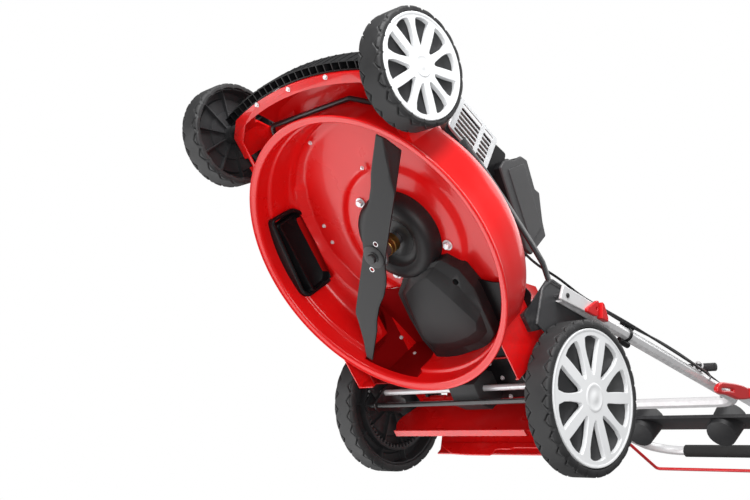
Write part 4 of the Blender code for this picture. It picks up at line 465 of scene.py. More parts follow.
def upright_plate(name, outline, x, depth, bevel=0.0, segments=2, holes=()):
    """A plate that stands fore and aft at a distance from the middle: outline is (y, z)."""
    return placed(plate(name, outline, holes, depth, bevel, segments), at(x, 0, 0), (0, 1, 0), (0, 0, 1))


RAMP_X, RAMP_Y, RAMP_Z = (-0.167, -0.048), (-0.262, -0.1035), (0.1600, 0.2140)
RAMP_FOOT, RAMP_SHEET = 0.062, 0.0020
rise = Vector((RAMP_Y[1] - RAMP_Y[0], RAMP_Z[1] - RAMP_Z[0]))
(west, east), slope = RAMP_X, rise.length
roof = plate("ramp_roof", [(west, 0), (east, 0), (east, slope), (west, slope)], [], RAMP_SHEET)
placed(roof, at(0, RAMP_Y[0], RAMP_Z[0]), (1, 0, 0), (0, rise.x, rise.y))
wall = [(west, RAMP_FOOT), (east, RAMP_FOOT), (east, RAMP_Z[1]), (west, RAMP_Z[1])]
end_wall = plate("ramp_end", wall, [], RAMP_SHEET)
placed(end_wall, at(0, RAMP_Y[1] - 0.0010, 0), (1, 0, 0), (0, 0, 1))
sides = []
for x, foot in ((-0.1655, -0.158), (-0.0495, -0.1075)):
    sides.append(upright_plate("ramp_cheek", [
        (RAMP_Y[0], RAMP_Z[0]), (RAMP_Y[1], RAMP_Z[1]), (RAMP_Y[1], RAMP_FOOT), (foot, RAMP_FOOT),
        (foot - 0.009, 0.100), (foot - 0.009, 0.154), (RAMP_Y[0], 0.154),
    ], x, RAMP_SHEET))
merged("ramp_recess", [roof, end_wall, *sides], ramp_red, "chassis", [], 30)

# The front webs: two flat steel gussets in the deck's own red. They join the bowl to the apron at the front
# corners, above the front axle.
shield_red = surface(
    "shield_red", (0.84, 0.008, 0.008), (0.76, 0.006, 0.007), 0.26, 0.06, coat=0.35, coat_rough=0.12,
    grain=(240.0, 0.02), wear=((0.42, 0.05, 0.05), 0.3),
)


def level_plate(name, outline, z, depth, bevel=0.0):
    """A plate that lies level at a height: outline is (x, y)."""
    return placed(plate(name, outline, [], depth, bevel), at(0, 0, z), (1, 0, 0), (0, 1, 0))


WEB = ((0.105, -0.664), (0.200, -0.650), (0.206, -0.560), (0.150, -0.600))
webs = [level_plate("front_web", [(side * x, y) for x, y in WEB], 0.1510, 0.0016) for side in (1, -1)]
merged("front_webs", webs, shield_red, "chassis", [], 30)

# The bumper: a black moulded channel screwed to the front of the apron. A thin shelf joins its back to its skin
# at its upper edge, with a row of thin upright ribs between them.
plug_black = surface(
    "plug_black", (0.005, 0.005, 0.006), (0.009, 0.009, 0.010), 0.36, 0.10, grain=(600.0, 0.02),
    wear=((0.03, 0.03, 0.03), 0.3), specular=0.22,
)
BUMPER_R, BUMPER_MID, BUMPER_HALF = 0.643, -0.096, 19.2
BUMPER_LOW, BUMPER_HIGH, BUMPER_RIBS = 0.078, 0.118, 25


def bow(name, inner_r, outer_r, low, high, half, steps=48):
    """A flat bowed band of the bumper: a sector of a ring between two heights."""
    corners = ((inner_r, low), (outer_r, low), (outer_r, high), (inner_r, high))
    rows = []
    for k in range(steps + 1):
        angle = math.radians(-90 - half + 2 * half * k / steps)
        c, n = math.cos(angle), math.sin(angle)
        rows.append([at(r * c, BUMPER_MID + r * n, z) for r, z in corners])
    return skin(name, rows, caps=(0, -1))


parts = [
    bow("bumper_back", BUMPER_R - 0.0170, BUMPER_R - 0.0145, BUMPER_LOW, BUMPER_HIGH, BUMPER_HALF),
    bow("bumper_skin", BUMPER_R - 0.0018, BUMPER_R, BUMPER_LOW, BUMPER_HIGH, BUMPER_HALF),
    bow("bumper_high", BUMPER_R - 0.0170, BUMPER_R, BUMPER_HIGH - 0.0025, BUMPER_HIGH, BUMPER_HALF),
]
centre = at(0, BUMPER_MID, 0)
for k in range(BUMPER_RIBS):
    angle = math.radians(-BUMPER_HALF + 2 * BUMPER_HALF * k / (BUMPER_RIBS - 1))
    low, high = BUMPER_LOW + 0.0005, BUMPER_HIGH - 0.0005
    rib = bow("bumper_rib", BUMPER_R - 0.0150, BUMPER_R + 0.0008, low, high, 0.11, 1)
    rib.matrix_world = Matrix.Translation(centre) @ Matrix.Rotation(angle, 4, "Z") @ Matrix.Translation(-centre)
    parts.append(rib)
merged("bumper_channel", parts, plug_black, "chassis", ["front_bumper"], 30)

# The axles: bent steel rods and swing arms in black paint, held in bearings under the deck, with the rear
# height lever. The zinc-plated drive shaft runs through the gearbox, and has a pinion at each end.
paint_black = surface(
    "paint_black", (0.012, 0.012, 0.013), (0.020, 0.020, 0.022), 0.28, 0.10, coat=0.25, coat_rough=0.12,
    grain=(200.0, 0.03), wear=((0.16, 0.15, 0.145), 0.5),
)
zinc = surface(
    "bolt_zinc", (0.86, 0.86, 0.87), (0.74, 0.74, 0.76), 0.22, 0.10, metal=0.35, coat=0.3, grain=(700.0, 0.02),
)
matt_black = surface(
    "matt_black", (0.016, 0.016, 0.017), (0.028, 0.028, 0.030), 0.55, 0.14, grain=(640.0, 0.06),
    wear=((0.06, 0.06, 0.06), 0.35), dust=((0.08, 0.075, 0.07), 0.10),
)
BODY_OF = {node: body for body, nodes in frame["record"]["behaviour"]["bodies"].items() for node in nodes}


def dress(mat, *nodes):
    """A softened copy of each CAD node: its coplanar faces merged and its edges rounded."""
    for node in nodes:
        settle(soften(copy_of(node, "_skin"), 0.0008, 28), mat, BODY_OF[node], [node])


dress(paint_black, "rear_axle", "axle_bearing_left", "axle_bearing_right", "front_axle", "height_lever_rear")
dress(zinc, "drive_shaft")
dress(matt_black, "gearbox")

# The wheels: four moulded rubber tyres on black rims, with a zigzag groove and small lugs at each shoulder.
# A silver cap with a thin rim, ten spokes, deep windows and a round hub disc clips to each rim. A black
# moulding in two steps closes the wheel behind the cap.
TYRE_R = {"rear": 0.140, "front": 0.0987}
TYRE_W = {"rear": 0.0526, "front": 0.0496}
RIM_R = {"rear": 0.1252, "front": 0.0902}
FACE_X = {"rear": 0.273, "front": 0.2705}
HUB = {"rear": (0.0, 0.140), "front": (-0.668, 0.0987)}
ZIGZAGS = {"rear": 28, "front": 20}
GROOVE_W, GROOVE_DEPTH, LUG_DEPTH = 0.0016, 0.0034, 0.0012
CAP_SPOKES = 10
tyre_rubber = surface(
    "tyre_rubber", (0.017, 0.017, 0.018), (0.030, 0.030, 0.031), 0.52, 0.14, grain=(700.0, 0.05),
    mottle=14.0, wear=((0.055, 0.055, 0.056), 0.5), dust=((0.075, 0.072, 0.068), 0.12), specular=0.45,
)
rim_black = surface(
    "rim_black", (0.014, 0.014, 0.015), (0.024, 0.024, 0.026), 0.38, 0.12, grain=(600.0, 0.04),
    wear=((0.05, 0.05, 0.052), 0.4), dust=((0.06, 0.058, 0.055), 0.10),
)
cap_silver = surface(
    "cap_silver", (0.86, 0.87, 0.88), (0.80, 0.81, 0.82), 0.34, 0.08, metal=0.0, coat=0.4, coat_rough=0.12,
    grain=(900.0, 0.02), mottle=10.0, wear=((0.45, 0.45, 0.46), 0.2),
)


def corner(before, point, after, radius, steps):
    """The points that round one corner of a line, between its neighbours."""
    p, q, r = Vector(before), Vector(point), Vector(after)
    cut = min(radius, (p - q).length * 0.45, (r - q).length * 0.45)
    start, end = q + (p - q).normalized() * cut, q + (r - q).normalized() * cut
    shares = [k / steps for k in range(steps + 1)]
    return [tuple(start.lerp(q, f).lerp(q.lerp(end, f), f)) for f in shares]


def rounded(points, radius, steps=4):
    """A closed line of (a, b) points with its corners rounded."""
    out = []
    for before, point, after in zip(points[-1:] + points[:-1], points, points[1:] + points[:1]):
        out += corner(before, point, after, radius, steps)
    return out


def circle(radius, count, a=0.0, b=0.0):
    """A closed line of points round a centre."""
    turns = [2 * math.pi * k / count for k in range(count)]
    return [(a + radius * math.cos(turn), b + radius * math.sin(turn)) for turn in turns]


def tyre_mesh(name, radius, inner, half, zigzags):
    """A rubber tyre with a rounded tread and a zigzag groove round each shoulder."""
    wall = [
        (half * 0.90, inner), (half * 0.985, inner + 0.0015), (half, inner + 0.004), (half, radius - 0.0085),
        (half * 0.985, radius - 0.0045), (half * 0.93, radius - 0.0018), (half * 0.84, radius - 0.0006),
    ]
    tread = [(half * 0.84 * (1 - 2 * i / 60), radius) for i in range(1, 60)]
    line = wall + tread + [(-x, r) for x, r in reversed(wall)]
    steps = zigzags * 16
    rows = []
    for k in range(steps):
        angle = 2 * math.pi * k / steps
        c, s = math.cos(angle), math.sin(angle)
        share = angle * zigzags / (2 * math.pi)
        saw = abs((share % 1.0) * 2 - 1)
        saw_far = abs(((share + 0.5) % 1.0) * 2 - 1)
        row = []
        for x, r in line:
            sink = 0.0
            if r > radius - 0.009:
                for mark in (half * (0.50 + 0.46 * saw), -half * (0.50 + 0.46 * saw_far)):
                    gap = abs(x - mark)
                    if gap < GROOVE_W:
                        sink = max(sink, GROOVE_DEPTH * (1 - (gap / GROOVE_W) ** 2))
                shoulder = min(1.0, max(0.0, (abs(x) / half - 0.78) / 0.2))
                sink += LUG_DEPTH * (saw if x > 0 else saw_far) * shoulder
            row.append((x, (r - sink) * c, (r - sink) * s))
        rows.append(row)
    return skin(name, rows, loop=True)


def cap_window(mirror):
    """One window of the hub cap as (angle in degrees, share of the radius)."""
    line = [
        (-6.0, 0.375), (-8.6, 0.52), (-10.8, 0.70), (-12.6, 0.878), (-6.0, 0.896), (1.0, 0.900), (7.5, 0.892),
        (11.4, 0.872), (13.2, 0.74), (12.6, 0.60), (10.0, 0.47), (6.0, 0.365), (0.5, 0.325), (-3.6, 0.338),
    ]
    return [(-a, r) for a, r in reversed(line)] if mirror else line


for end in ("rear", "front"):
    radius, inner, half = TYRE_R[end], RIM_R[end], TYRE_W[end] / 2
    hub = at(0, *HUB[end])
    cap_r = inner - 0.0016
    for word, side in (("left", 1), ("right", -1)):
        prefix = end + "_" + word
        body = prefix + "_wheel"
        middle = Vector((side * (FACE_X[end] - half), hub.y, hub.z))
        turned = Matrix.Translation(middle) @ Matrix.Scale(side, 4, (1, 0, 0))
        tyre = tyre_mesh(prefix + "_tread", radius, inner + 0.0003, half, ZIGZAGS[end])
        tyre.matrix_world = turned
        merged(prefix + "_tread", [tyre], tyre_rubber, body, [prefix + "_tyre"], 40)
        windows = []
        for k in range(CAP_SPOKES):
            turns = [(math.radians(a + 36 * k), cap_r * r) for a, r in cap_window(k % 2 == 1)]
            windows.append(rounded([(r * math.cos(a), r * math.sin(a)) for a, r in turns], 0.0013, 2))
        face = plate(prefix + "_face", circle(cap_r, 160), windows, 0.0090, 0.0009, 2)
        placed(face, (0, 0, 0), (0, 1, 0), (0, 0, 1))
        face.matrix_world = turned @ Matrix.Translation((half - 0.0054, 0, 0)) @ face.matrix_world
        hub_r = cap_r * 0.20
        boss = lathe(prefix + "_boss", [
            (half - 0.004, 0.0), (half + 0.0002, 0.0), (half + 0.0002, hub_r * 0.30),
            (half - 0.0004, hub_r * 0.36), (half - 0.0004, hub_r * 0.80), (half + 0.0002, hub_r * 0.86),
            (half + 0.0002, hub_r * 0.98), (half - 0.0008, hub_r * 1.06), (half - 0.004, hub_r * 1.10),
        ], 96)
        boss.matrix_world = turned
        lip = lathe(prefix + "_lip", [
            (half - 0.0035, cap_r - 0.0052), (half - 0.0004, cap_r - 0.0050), (half + 0.0001, cap_r - 0.0040),
            (half + 0.0001, cap_r - 0.0012), (half - 0.0006, cap_r - 0.0002), (half - 0.0035, cap_r),
        ], 160)
        lip.matrix_world = turned
        merged(prefix + "_cap", [face, boss, lip], cap_silver, body, [prefix + "_hubcap"], 30)
        deep = half - 0.0270
        disc = lathe(prefix + "_disc", [
            (deep, 0.016), (deep, inner * 0.52), (deep + 0.0030, inner * 0.54), (deep + 0.0030, inner * 0.80),
            (deep + 0.0070, inner * 0.83), (deep + 0.0070, inner - 0.0020), (deep + 0.0090, inner - 0.0020),
            (deep + 0.0090, inner * 0.81), (deep + 0.0050, inner * 0.78), (deep + 0.0050, 0.016),
        ], 96)
        disc.matrix_world = turned
        merged(prefix + "_disc", [disc], rim_black, body, [], 30)
        dress(rim_black, prefix + "_rim")

# The blade: one bar of dark steel with wide tips, a narrower middle, and a wing bent up behind each tip. Two
# small drilled holes by the middle show their bright cut edges.
blade_grey = surface(
    "blade_grey", (0.022, 0.022, 0.023), (0.028, 0.028, 0.029), 0.48, 0.06, metal=0.0,
    grain=(420.0, 0.03), mottle=5.0, wear=((0.12, 0.12, 0.12), 0.4), specular=0.28,
)
steel = surface(
    "bright_steel", (0.62, 0.62, 0.63), (0.50, 0.50, 0.51), 0.24, 0.12, metal=1.0, grain=(800.0, 0.03),
    wear=((0.78, 0.78, 0.79), 0.4),
)
BLADE_TURN = math.radians(-50.5)
BLADE_Z = 0.0655
BLADE_T = 0.0034
BLADE_HALF = 0.2570
EYE_PLACES = (-0.031, 0.031)
BLADE_LEFT = [
    (0.000, -0.0235), (0.012, -0.0262), (0.030, -0.0310), (0.050, -0.0335), (0.080, -0.0325), (0.098, -0.0285),
    (0.115, -0.0260), (0.145, -0.0255), (0.160, -0.0270), (0.176, -0.0290), (0.2570, -0.0290),
]
BLADE_BEND = [
    (0.000, 0.0232), (0.150, 0.0236), (0.1646, 0.0198), (0.1806, 0.0117), (0.2149, -0.0018), (0.2570, -0.0168),
]
BLADE_EDGE = [(0.000, 0.0233), (0.150, 0.0237), (0.228, 0.0240), (0.2570, -0.0150)]
WING = math.radians(62)


def along(line, a):
    """The value of a line of (place, value) points at a place."""
    for (a0, v0), (a1, v1) in zip(line, line[1:]):
        if a0 <= a <= a1:
            return v0 + (v1 - v0) * (a - a0) / (a1 - a0)
    return line[-1][1]


def blade_row(a):
    """The blade's underside at a place from its middle outwards: points of (across, lift)."""
    left, bend, edge = along(BLADE_LEFT, a), along(BLADE_BEND, a), along(BLADE_EDGE, a)
    row = [(left + (bend - left) * i / 7, 0.0) for i in range(8)]
    wing = max(edge - bend, 0.0001)
    for i in range(1, 7):
        d = wing * i / 6
        turn = WING * min(1.0, d / 0.006)
        row.append((bend + d * math.cos(turn), d * math.sin(turn)))
    return row


bm = bmesh.new()
places = [BLADE_HALF * i / 72 for i in range(73)]
rows = []
for sign, order in ((-1, reversed(places[1:])), (1, places)):
    for a in order:
        row = [(sign * a, sign * y, z) for y, z in blade_row(a)]
        if sign < 0:
            row = row[::-1]
        top = [bm.verts.new((x, y, z + BLADE_T)) for x, y, z in row]
        rows.append(([bm.verts.new(point) for point in row], top))
for (low, high), (low_next, high_next) in zip(rows, rows[1:]):
    for i in range(len(low) - 1):
        bm.faces.new((low[i], low[i + 1], low_next[i + 1], low_next[i]))
        bm.faces.new((high[i], high_next[i], high_next[i + 1], high[i + 1]))
    for i in (0, -1):
        bm.faces.new((low[i], low_next[i], high_next[i], high[i]))
for low, high in (rows[0], rows[-1]):
    bm.faces.new(low + high[::-1])
bmesh.ops.recalc_face_normals(bm, faces=bm.faces)
bar = from_bmesh("blade_bar", bm)
blade_frame = Matrix.Translation(at(0, DECK_Y, BLADE_Z)) @ Matrix.Rotation(BLADE_TURN, 4, "Z")
bar.matrix_world = blade_frame
for a in EYE_PLACES:
    bpy.ops.mesh.primitive_cylinder_add(vertices=32, radius=0.0046, depth=0.02)
    drill = bpy.context.object
    drill.matrix_world = blade_frame @ Matrix.Translation((a, 0, 0))
    carve(bar, drill)
soften(bar, 0.0005, 50)
merged("blade_bar", [bar], blade_grey, "crank", ["blade"], 30)
rings = []
for a in EYE_PLACES:
    rings.append(spindle("eye", [
        (BLADE_Z - 0.0002, 0.0040), (BLADE_Z - 0.0002, 0.0054), (BLADE_Z + 0.002, 0.0054),
        (BLADE_Z + 0.002, 0.0040),
    ], 40, a * math.cos(BLADE_TURN), DECK_Y + a * math.sin(BLADE_TURN)))
merged("blade_eyes", rings, steel, "crank", [], 30)

# The blade bolt: a black steel hexagon head with a flange. It clamps the blade to the crank through a wide,
# slightly dished washer.
black_steel = surface(
    "black_steel", (0.020, 0.020, 0.021), (0.034, 0.034, 0.035), 0.36, 0.12, metal=0.3, grain=(500.0, 0.03),
    wear=((0.14, 0.14, 0.14), 0.4),
)


def hex_head(name, across, height, chamfer=0.0006):
    """A hexagon head about Z that stands on z = 0, with a chamfered free end."""
    radius = across / math.sqrt(3)
    rows = []
    for z, r in ((0.0, radius), (height - chamfer, radius), (height, radius - chamfer * 1.6)):
        rows.append([(a, b, z) for a, b in circle(r, 6)])
    return soften(skin(name, rows, caps=(0, -1)), 0.0003, 30)


washer = spindle("blade_washer", [
    (BLADE_Z - 0.0006, 0.0), (BLADE_Z - 0.0022, 0.006), (BLADE_Z - 0.0026, 0.014), (BLADE_Z - 0.0022, 0.0215),
    (BLADE_Z - 0.0012, 0.0232), (BLADE_Z - 0.0002, 0.0232), (BLADE_Z - 0.0002, 0.0),
], 72)
bolt = hex_head("blade_hex", 0.0165, 0.0075, 0.0010)
bolt.matrix_world = Matrix.Translation(at(0, DECK_Y, BLADE_Z - 0.0024)) @ Matrix.Rotation(math.pi, 4, "X")
collar = spindle("blade_hex_flange", [
    (BLADE_Z - 0.0046, 0.0), (BLADE_Z - 0.0044, 0.0098), (BLADE_Z - 0.0036, 0.0116), (BLADE_Z - 0.0022, 0.0116),
    (BLADE_Z - 0.0022, 0.0),
], 48)
merged("blade_fixing", [washer, bolt, collar], black_steel, "crank", ["blade_bolt"], 30)

# The crank: the engine's steel shaft ends in a dark carrier that holds the blade, under a brass-coloured
# spacer. A pulley on it drives the gearbox's pulley through a rubber belt.
dull_steel = surface(
    "dull_steel", (0.34, 0.34, 0.35), (0.24, 0.24, 0.25), 0.38, 0.14, metal=0.9, grain=(500.0, 0.05),
    wear=((0.55, 0.55, 0.56), 0.4), dust=((0.10, 0.09, 0.08), 0.15),
)
brass = surface(
    "worn_brass", (0.62, 0.40, 0.13), (0.46, 0.27, 0.08), 0.28, 0.14, metal=1.0, grain=(700.0, 0.03),
)
belt_rubber = surface(
    "belt_rubber", (0.016, 0.016, 0.016), (0.030, 0.029, 0.028), 0.75, 0.15, grain=(600.0, 0.08),
)
stub = spindle("crank_stub", [
    (0.0693, 0.0), (0.0693, 0.0265), (0.0700, 0.0272), (0.0745, 0.0272), (0.0755, 0.0262), (0.0760, 0.0190),
    (0.0775, 0.0172), (0.0990, 0.0165), (0.0990, 0.0126), (0.2060, 0.0125), (0.2060, 0.0),
], 72)
merged("crank_stub", [stub], dull_steel, "crank", ["crankshaft"], 30)
spacer = spindle("crank_spacer", [
    (0.0992, 0.0128), (0.0992, 0.0176), (0.1000, 0.0184), (0.1075, 0.0184), (0.1085, 0.0170), (0.1110, 0.0168),
    (0.1120, 0.0184), (0.1250, 0.0184), (0.1258, 0.0176), (0.1258, 0.0128),
], 72)
merged("crank_spacer", [spacer], brass, "crank", [], 30)
dress(black_steel, "crank_pulley", "gearbox_pulley")
dress(belt_rubber, "drive_belt")

# The belt guard: a black moulded cover screwed under the deck. A ring goes round the crank, and a sunk middle
# leads to a tiered body over the belt, to the rear.
guard_black = surface(
    "guard_black", (0.011, 0.011, 0.012), (0.017, 0.017, 0.018), 0.40, 0.10, grain=(760.0, 0.05), mottle=5.0,
    wear=((0.05, 0.05, 0.05), 0.3), dust=((0.050, 0.048, 0.046), 0.06), specular=0.30,
)
ring = spindle("guard_ring", [
    (0.1400, 0.0195), (0.1392, 0.0230), (0.1385, 0.0370), (0.1370, 0.0455), (0.1335, 0.0505), (0.1290, 0.0532),
    (0.1262, 0.0556), (0.1250, 0.0600), (0.1246, 0.0655), (0.1254, 0.0725), (0.1280, 0.0790), (0.1325, 0.0840),
    (0.1390, 0.0872), (0.1480, 0.0888), (0.1585, 0.0892), (0.1585, 0.0868), (0.1480, 0.0862), (0.1400, 0.0845),
    (0.1345, 0.0812), (0.1305, 0.0765), (0.1282, 0.0710), (0.1276, 0.0655), (0.1285, 0.0600), (0.1320, 0.0560),
    (0.1365, 0.0525), (0.1398, 0.0460), (0.1412, 0.0370), (0.1425, 0.0195),
], 128)
PANEL = [
    (0.040, -0.293), (0.057, -0.268), (0.073, -0.243), (0.107, -0.186), (0.098, -0.170), (0.070, -0.158),
    (0.031, -0.150), (-0.005, -0.150), (-0.018, -0.152), (-0.030, -0.156), (-0.038, -0.166), (-0.040, -0.180),
    (-0.035, -0.225), (-0.029, -0.264), (0.005, -0.282),
]
SKIRT = [
    (0.082, -0.318), (0.113, -0.292), (0.128, -0.250), (0.127, -0.208), (0.126, -0.152), (0.096, -0.126),
    (0.052, -0.119), (0.004, -0.108), (-0.016, -0.094), (-0.038, -0.094), (-0.042, -0.118), (-0.056, -0.150),
    (-0.062, -0.205), (-0.060, -0.262), (-0.010, -0.310),
]
TIERS = [
    (0.1214, 0.0), (0.1216, 0.02), (0.1300, 0.52), (0.1312, 0.56), (0.1326, 0.94), (0.1345, 1.0), (0.1640, 1.0),
]
levels = []
for z, share in TIERS:
    line = [(p[0] + (s[0] - p[0]) * share, p[1] + (s[1] - p[1]) * share) for p, s in zip(PANEL, SKIRT)]
    levels.append([at(x, y, z) for x, y in rounded(line, 0.0035, 3)])
cover = skin("guard_body", levels, caps=(0, -1))
carve(cover, spindle("guard_well", [(0.10, 0.0), (0.20, 0.0), (0.20, 0.0815), (0.10, 0.0815)], 96))
screw_hole = [(0.10, 0.0), (0.16, 0.0), (0.16, 0.0062), (0.10, 0.0062)]
carve(cover, spindle("guard_drill", screw_hole, 32, 0.096, -0.270))
merged("guard_cover", [ring, cover], guard_black, "chassis", ["belt_guard"], 34)

# The tunnel's liner: a thin black moulding, fixed under the deck beside the belt guard. It closes the rear
# outlet off from the belt.
liner = level_plate("tunnel_liner", rounded([
    (0.050, -0.262), (0.080, -0.276), (0.156, -0.246), (0.214, -0.238), (0.226, -0.214), (0.196, -0.160),
    (0.150, -0.128), (0.110, -0.118), (0.060, -0.120),
], 0.006, 4), 0.1572, 0.0020, 0.0006)
merged("tunnel_liner", [liner], plug_black, "chassis", [], 30)

# The side plug: a deep black moulded cup that is pushed into the side port. Its thick rolled lip follows the
# bowl's round wall.
MOUTH = rounded([
    (-0.4880, 0.0790), (-0.3180, 0.0790), (-0.3070, 0.0860), (-0.3070, 0.1480), (-0.3260, 0.1600),
    (-0.4600, 0.1600), (-0.4830, 0.1360),
], 0.009, 5)
PLUG_MIDDLE, PLUG_R = (-0.396, 0.1200), 0.2600
PLUG_LEAN, PLUG_BEND_Z = 0.30, 0.1150


def plug_point(y, z, depth, share=1.0):
    """A point of the plug's mouth: share draws it in, depth pushes it out of the bowl."""
    y, z = (middle + (value - middle) * share for middle, value in zip(PLUG_MIDDLE, (y, z)))
    reach = PLUG_R - PLUG_LEAN * max(0.0, z - PLUG_BEND_Z) + depth
    return at(-math.sqrt(reach ** 2 - (y - DECK_Y) ** 2), y, z)


def pipe(name, points, radius, sides=12, closed=False):
    """A round bar, tube or wire along points, with capped ends."""
    data = bpy.data.curves.new(name, "CURVE")
    data.dimensions = "3D"
    data.bevel_depth = radius
    data.bevel_resolution = max(1, sides // 4)
    data.use_fill_caps = True
    draw_line(data, points, closed)
    return link(name, data)


lip = pipe("plug_lip", [plug_point(y, z, -0.002, 0.965) for y, z in MOUTH], 0.0042, 16, True)
PLUG_LAYERS = [
    (0.0260, 1.0), (0.0100, 1.0), (-0.001, 0.998), (-0.0030, 0.985), (-0.0030, 0.93), (0.0010, 0.905),
    (0.0150, 0.89), (0.0170, 0.86),
]
layers = [[plug_point(y, z, depth, share) for y, z in MOUTH] for depth, share in PLUG_LAYERS]
cup = skin("plug_cup", layers, caps=(-1,))
merged("side_plug", [lip, cup, copy_of("side_door")], plug_black, "side_door", ["side_door"], 40)

# The deck's fixings: three zinc-plated engine bolts on washers in the bowl's ceiling, and small zinc-plated
# screws that hold the side port, the ramp and the bumper.
ENGINE_BOLT_R, ENGINE_BOLT_Z = 0.1016, 0.1586
ENGINE_BOLT = (0.0125, 0.0062, 0.0105, 0.0018)
PORT_SCREW = (0.0055, 0.0030, 0.0042, 0.0010)
RAMP_SCREW = (0.0060, 0.0032, 0.0044, 0.0010)
BUMPER_SCREW = (0.0060, 0.0032, 0.0046, 0.0010)
PANEL_BOLT = (0.0060, 0.0034, 0.0044, 0.0010)
DOWN = (0, 0, -1)
SCREWS = (
    (PORT_SCREW, DOWN, (
        (-0.200, -0.421, 0.1658), (-0.200, -0.383, 0.1658), (-0.019, -0.518, 0.1588), (-0.113, -0.594, 0.1560),
        (-0.121, -0.612, 0.1520),
    )),
    (RAMP_SCREW, (1, 0, 0), ((-0.1643, -0.138, 0.182),)),
    (RAMP_SCREW, (0, -1, 0), ((-0.133, -0.1047, 0.168),)),
    (BUMPER_SCREW, DOWN, ((-0.100, -0.7090, 0.0700), (-0.006, -0.7145, 0.0700), (0.090, -0.7105, 0.0700))),
)


def aimed(place, direction, own="Z", up="Y"):
    """The placing matrix of a point, with the object's own axis laid along a direction."""
    return Matrix.Translation(place) @ Vector(direction).to_track_quat(own, up).to_matrix().to_4x4()


def fixing(name, place, axis, across, height, washer=0.0, thick=0.0):
    """A hexagon bolt head on a washer where it has one: washer is its radius, thick its height."""
    head = hex_head(name + "_hex", across, height)
    base = aimed(place, axis)
    head.matrix_world = base @ Matrix.Translation((0, 0, thick))
    parts = [head]
    if washer:
        ring = lathe(name + "_washer", [(0, 0.0), (thick - 0.0003, 0.0), (thick, washer - 0.0004),
                                        (thick - 0.0003, washer), (0, washer)], 32)
        ring.matrix_world = base @ Matrix.Rotation(math.radians(-90), 4, "Y")
        parts.append(ring)
    return parts


for number, turn in ((1, 24), (2, 127), (3, 230)):
    a = math.radians(turn)
    place = at(ENGINE_BOLT_R * math.cos(a), DECK_Y + ENGINE_BOLT_R * math.sin(a), ENGINE_BOLT_Z)
    pieces = fixing("engine_bolt", place, DOWN, *ENGINE_BOLT)
    merged("engine_fixing_%d" % number, pieces, zinc, "chassis", ["engine_bolt_%d" % number], 30)
screws = []
for size, axis, places in SCREWS:
    for place in places:
        screws += fixing("screw", at(*place), axis, *size)
merged("deck_screws", screws, zinc, "chassis", [], 30)

# The gear panel: a black plate behind the bowl that shields the belt and the gearbox, held up by three
# bright bolts.
panel = level_plate("gear_panel", rounded([
    (0.036, -0.104), (0.066, -0.112), (0.120, -0.126), (0.196, -0.150), (0.200, -0.016), (0.036, -0.010),
], 0.006, 4), 0.1330, 0.0024, 0.0006)
merged("gear_panel", [panel], plug_black, "chassis", [], 30)
screws = []
for x, y in ((0.082, -0.091), (0.097, -0.058), (0.096, -0.016)):
    screws += fixing("screw", at(x, y, 0.1318), DOWN, *PANEL_BOLT)
merged("gear_panel_bolts", screws, zinc, "chassis", [], 30)

# The trailing shield: a red skirt that hangs on a pin behind the deck. It has rounded lower corners and a lip
# turned at its foot, and stops what the blade throws back.
SKIRT_RIGHT = [(0.150, 0.0540), (0.172, 0.060), (0.194, 0.088), (0.196, 0.112), (0.183, 0.140), (0.172, 0.168)]
SKIRT_LEFT = [(-x, z) for x, z in reversed(SKIRT_RIGHT)]
skirt = plate("shield_skirt", rounded(SKIRT_LEFT + SKIRT_RIGHT, 0.014, 6), [], 0.0030, 0.0010, 2)
placed(skirt, at(0, 0.0100, 0), (1, 0, 0), (0, 0.03, 1))
LIP = [(0.0030, 0.0500), (0.0160, 0.0500), (0.0180, 0.0560), (0.0155, 0.0560), (0.0135, 0.0530), (0.0030, 0.0530)]
shield_lip = skin("shield_lip", [[at(x, y, z) for y, z in LIP] for x in (-0.166, 0.166)], caps=(0, -1))
hinge_bits = copy_of("trailing_shield")
carve(hinge_bits, block("shield_low", (-0.30, -0.05, 0.0), (0.30, 0.08, 0.1560)))
merged("shield_skirt", [skirt, shield_lip, hinge_bits], shield_red, "trailing_shield", ["trailing_shield"], 34)

# The rear flap: the red sheet door over the outlet, which swings up on a pin across the deck. A scooped hand
# grip is formed below its foot.
scoop = plate("flap_scoop", rounded([
    (-0.150, 0.1340), (-0.124, 0.1180), (-0.100, 0.1080), (-0.060, 0.1060), (0.000, 0.1060), (0.004, 0.1230),
    (0.040, 0.1230), (0.046, 0.1270), (0.150, 0.1270), (0.162, 0.1400), (-0.150, 0.1400),
], 0.006, 4), [], 0.0036, 0.0012, 2)
placed(scoop, at(0, 0.1170, 0), (1, 0, 0), (0, -0.12, 1))
merged("flap_door", [copy_of("rear_flap"), scoop], shield_red, "rear_flap", ["rear_flap"], 34)

# The engine: a cast alloy block under a glossy blower housing, with its starter, tank, caps and carburettor in
# moulded black plastic. It stands on the deck, with the muffler at its left.
cast_alloy = surface(
    "cast_alloy", (0.40, 0.41, 0.42), (0.30, 0.31, 0.32), 0.50, 0.16, metal=0.8, grain=(360.0, 0.12),
    wear=((0.60, 0.60, 0.61), 0.4), dust=((0.12, 0.11, 0.10), 0.18),
)
gloss_black = surface(
    "gloss_black", (0.010, 0.010, 0.012), (0.018, 0.018, 0.020), 0.20, 0.10, coat=0.3, coat_rough=0.1,
    grain=(420.0, 0.015), wear=((0.05, 0.05, 0.052), 0.3), dust=((0.06, 0.055, 0.05), 0.06),
)
satin_black = surface(
    "satin_black", (0.014, 0.014, 0.016), (0.026, 0.026, 0.028), 0.36, 0.12, grain=(520.0, 0.04),
    wear=((0.07, 0.07, 0.072), 0.4), dust=((0.07, 0.066, 0.06), 0.08),
)
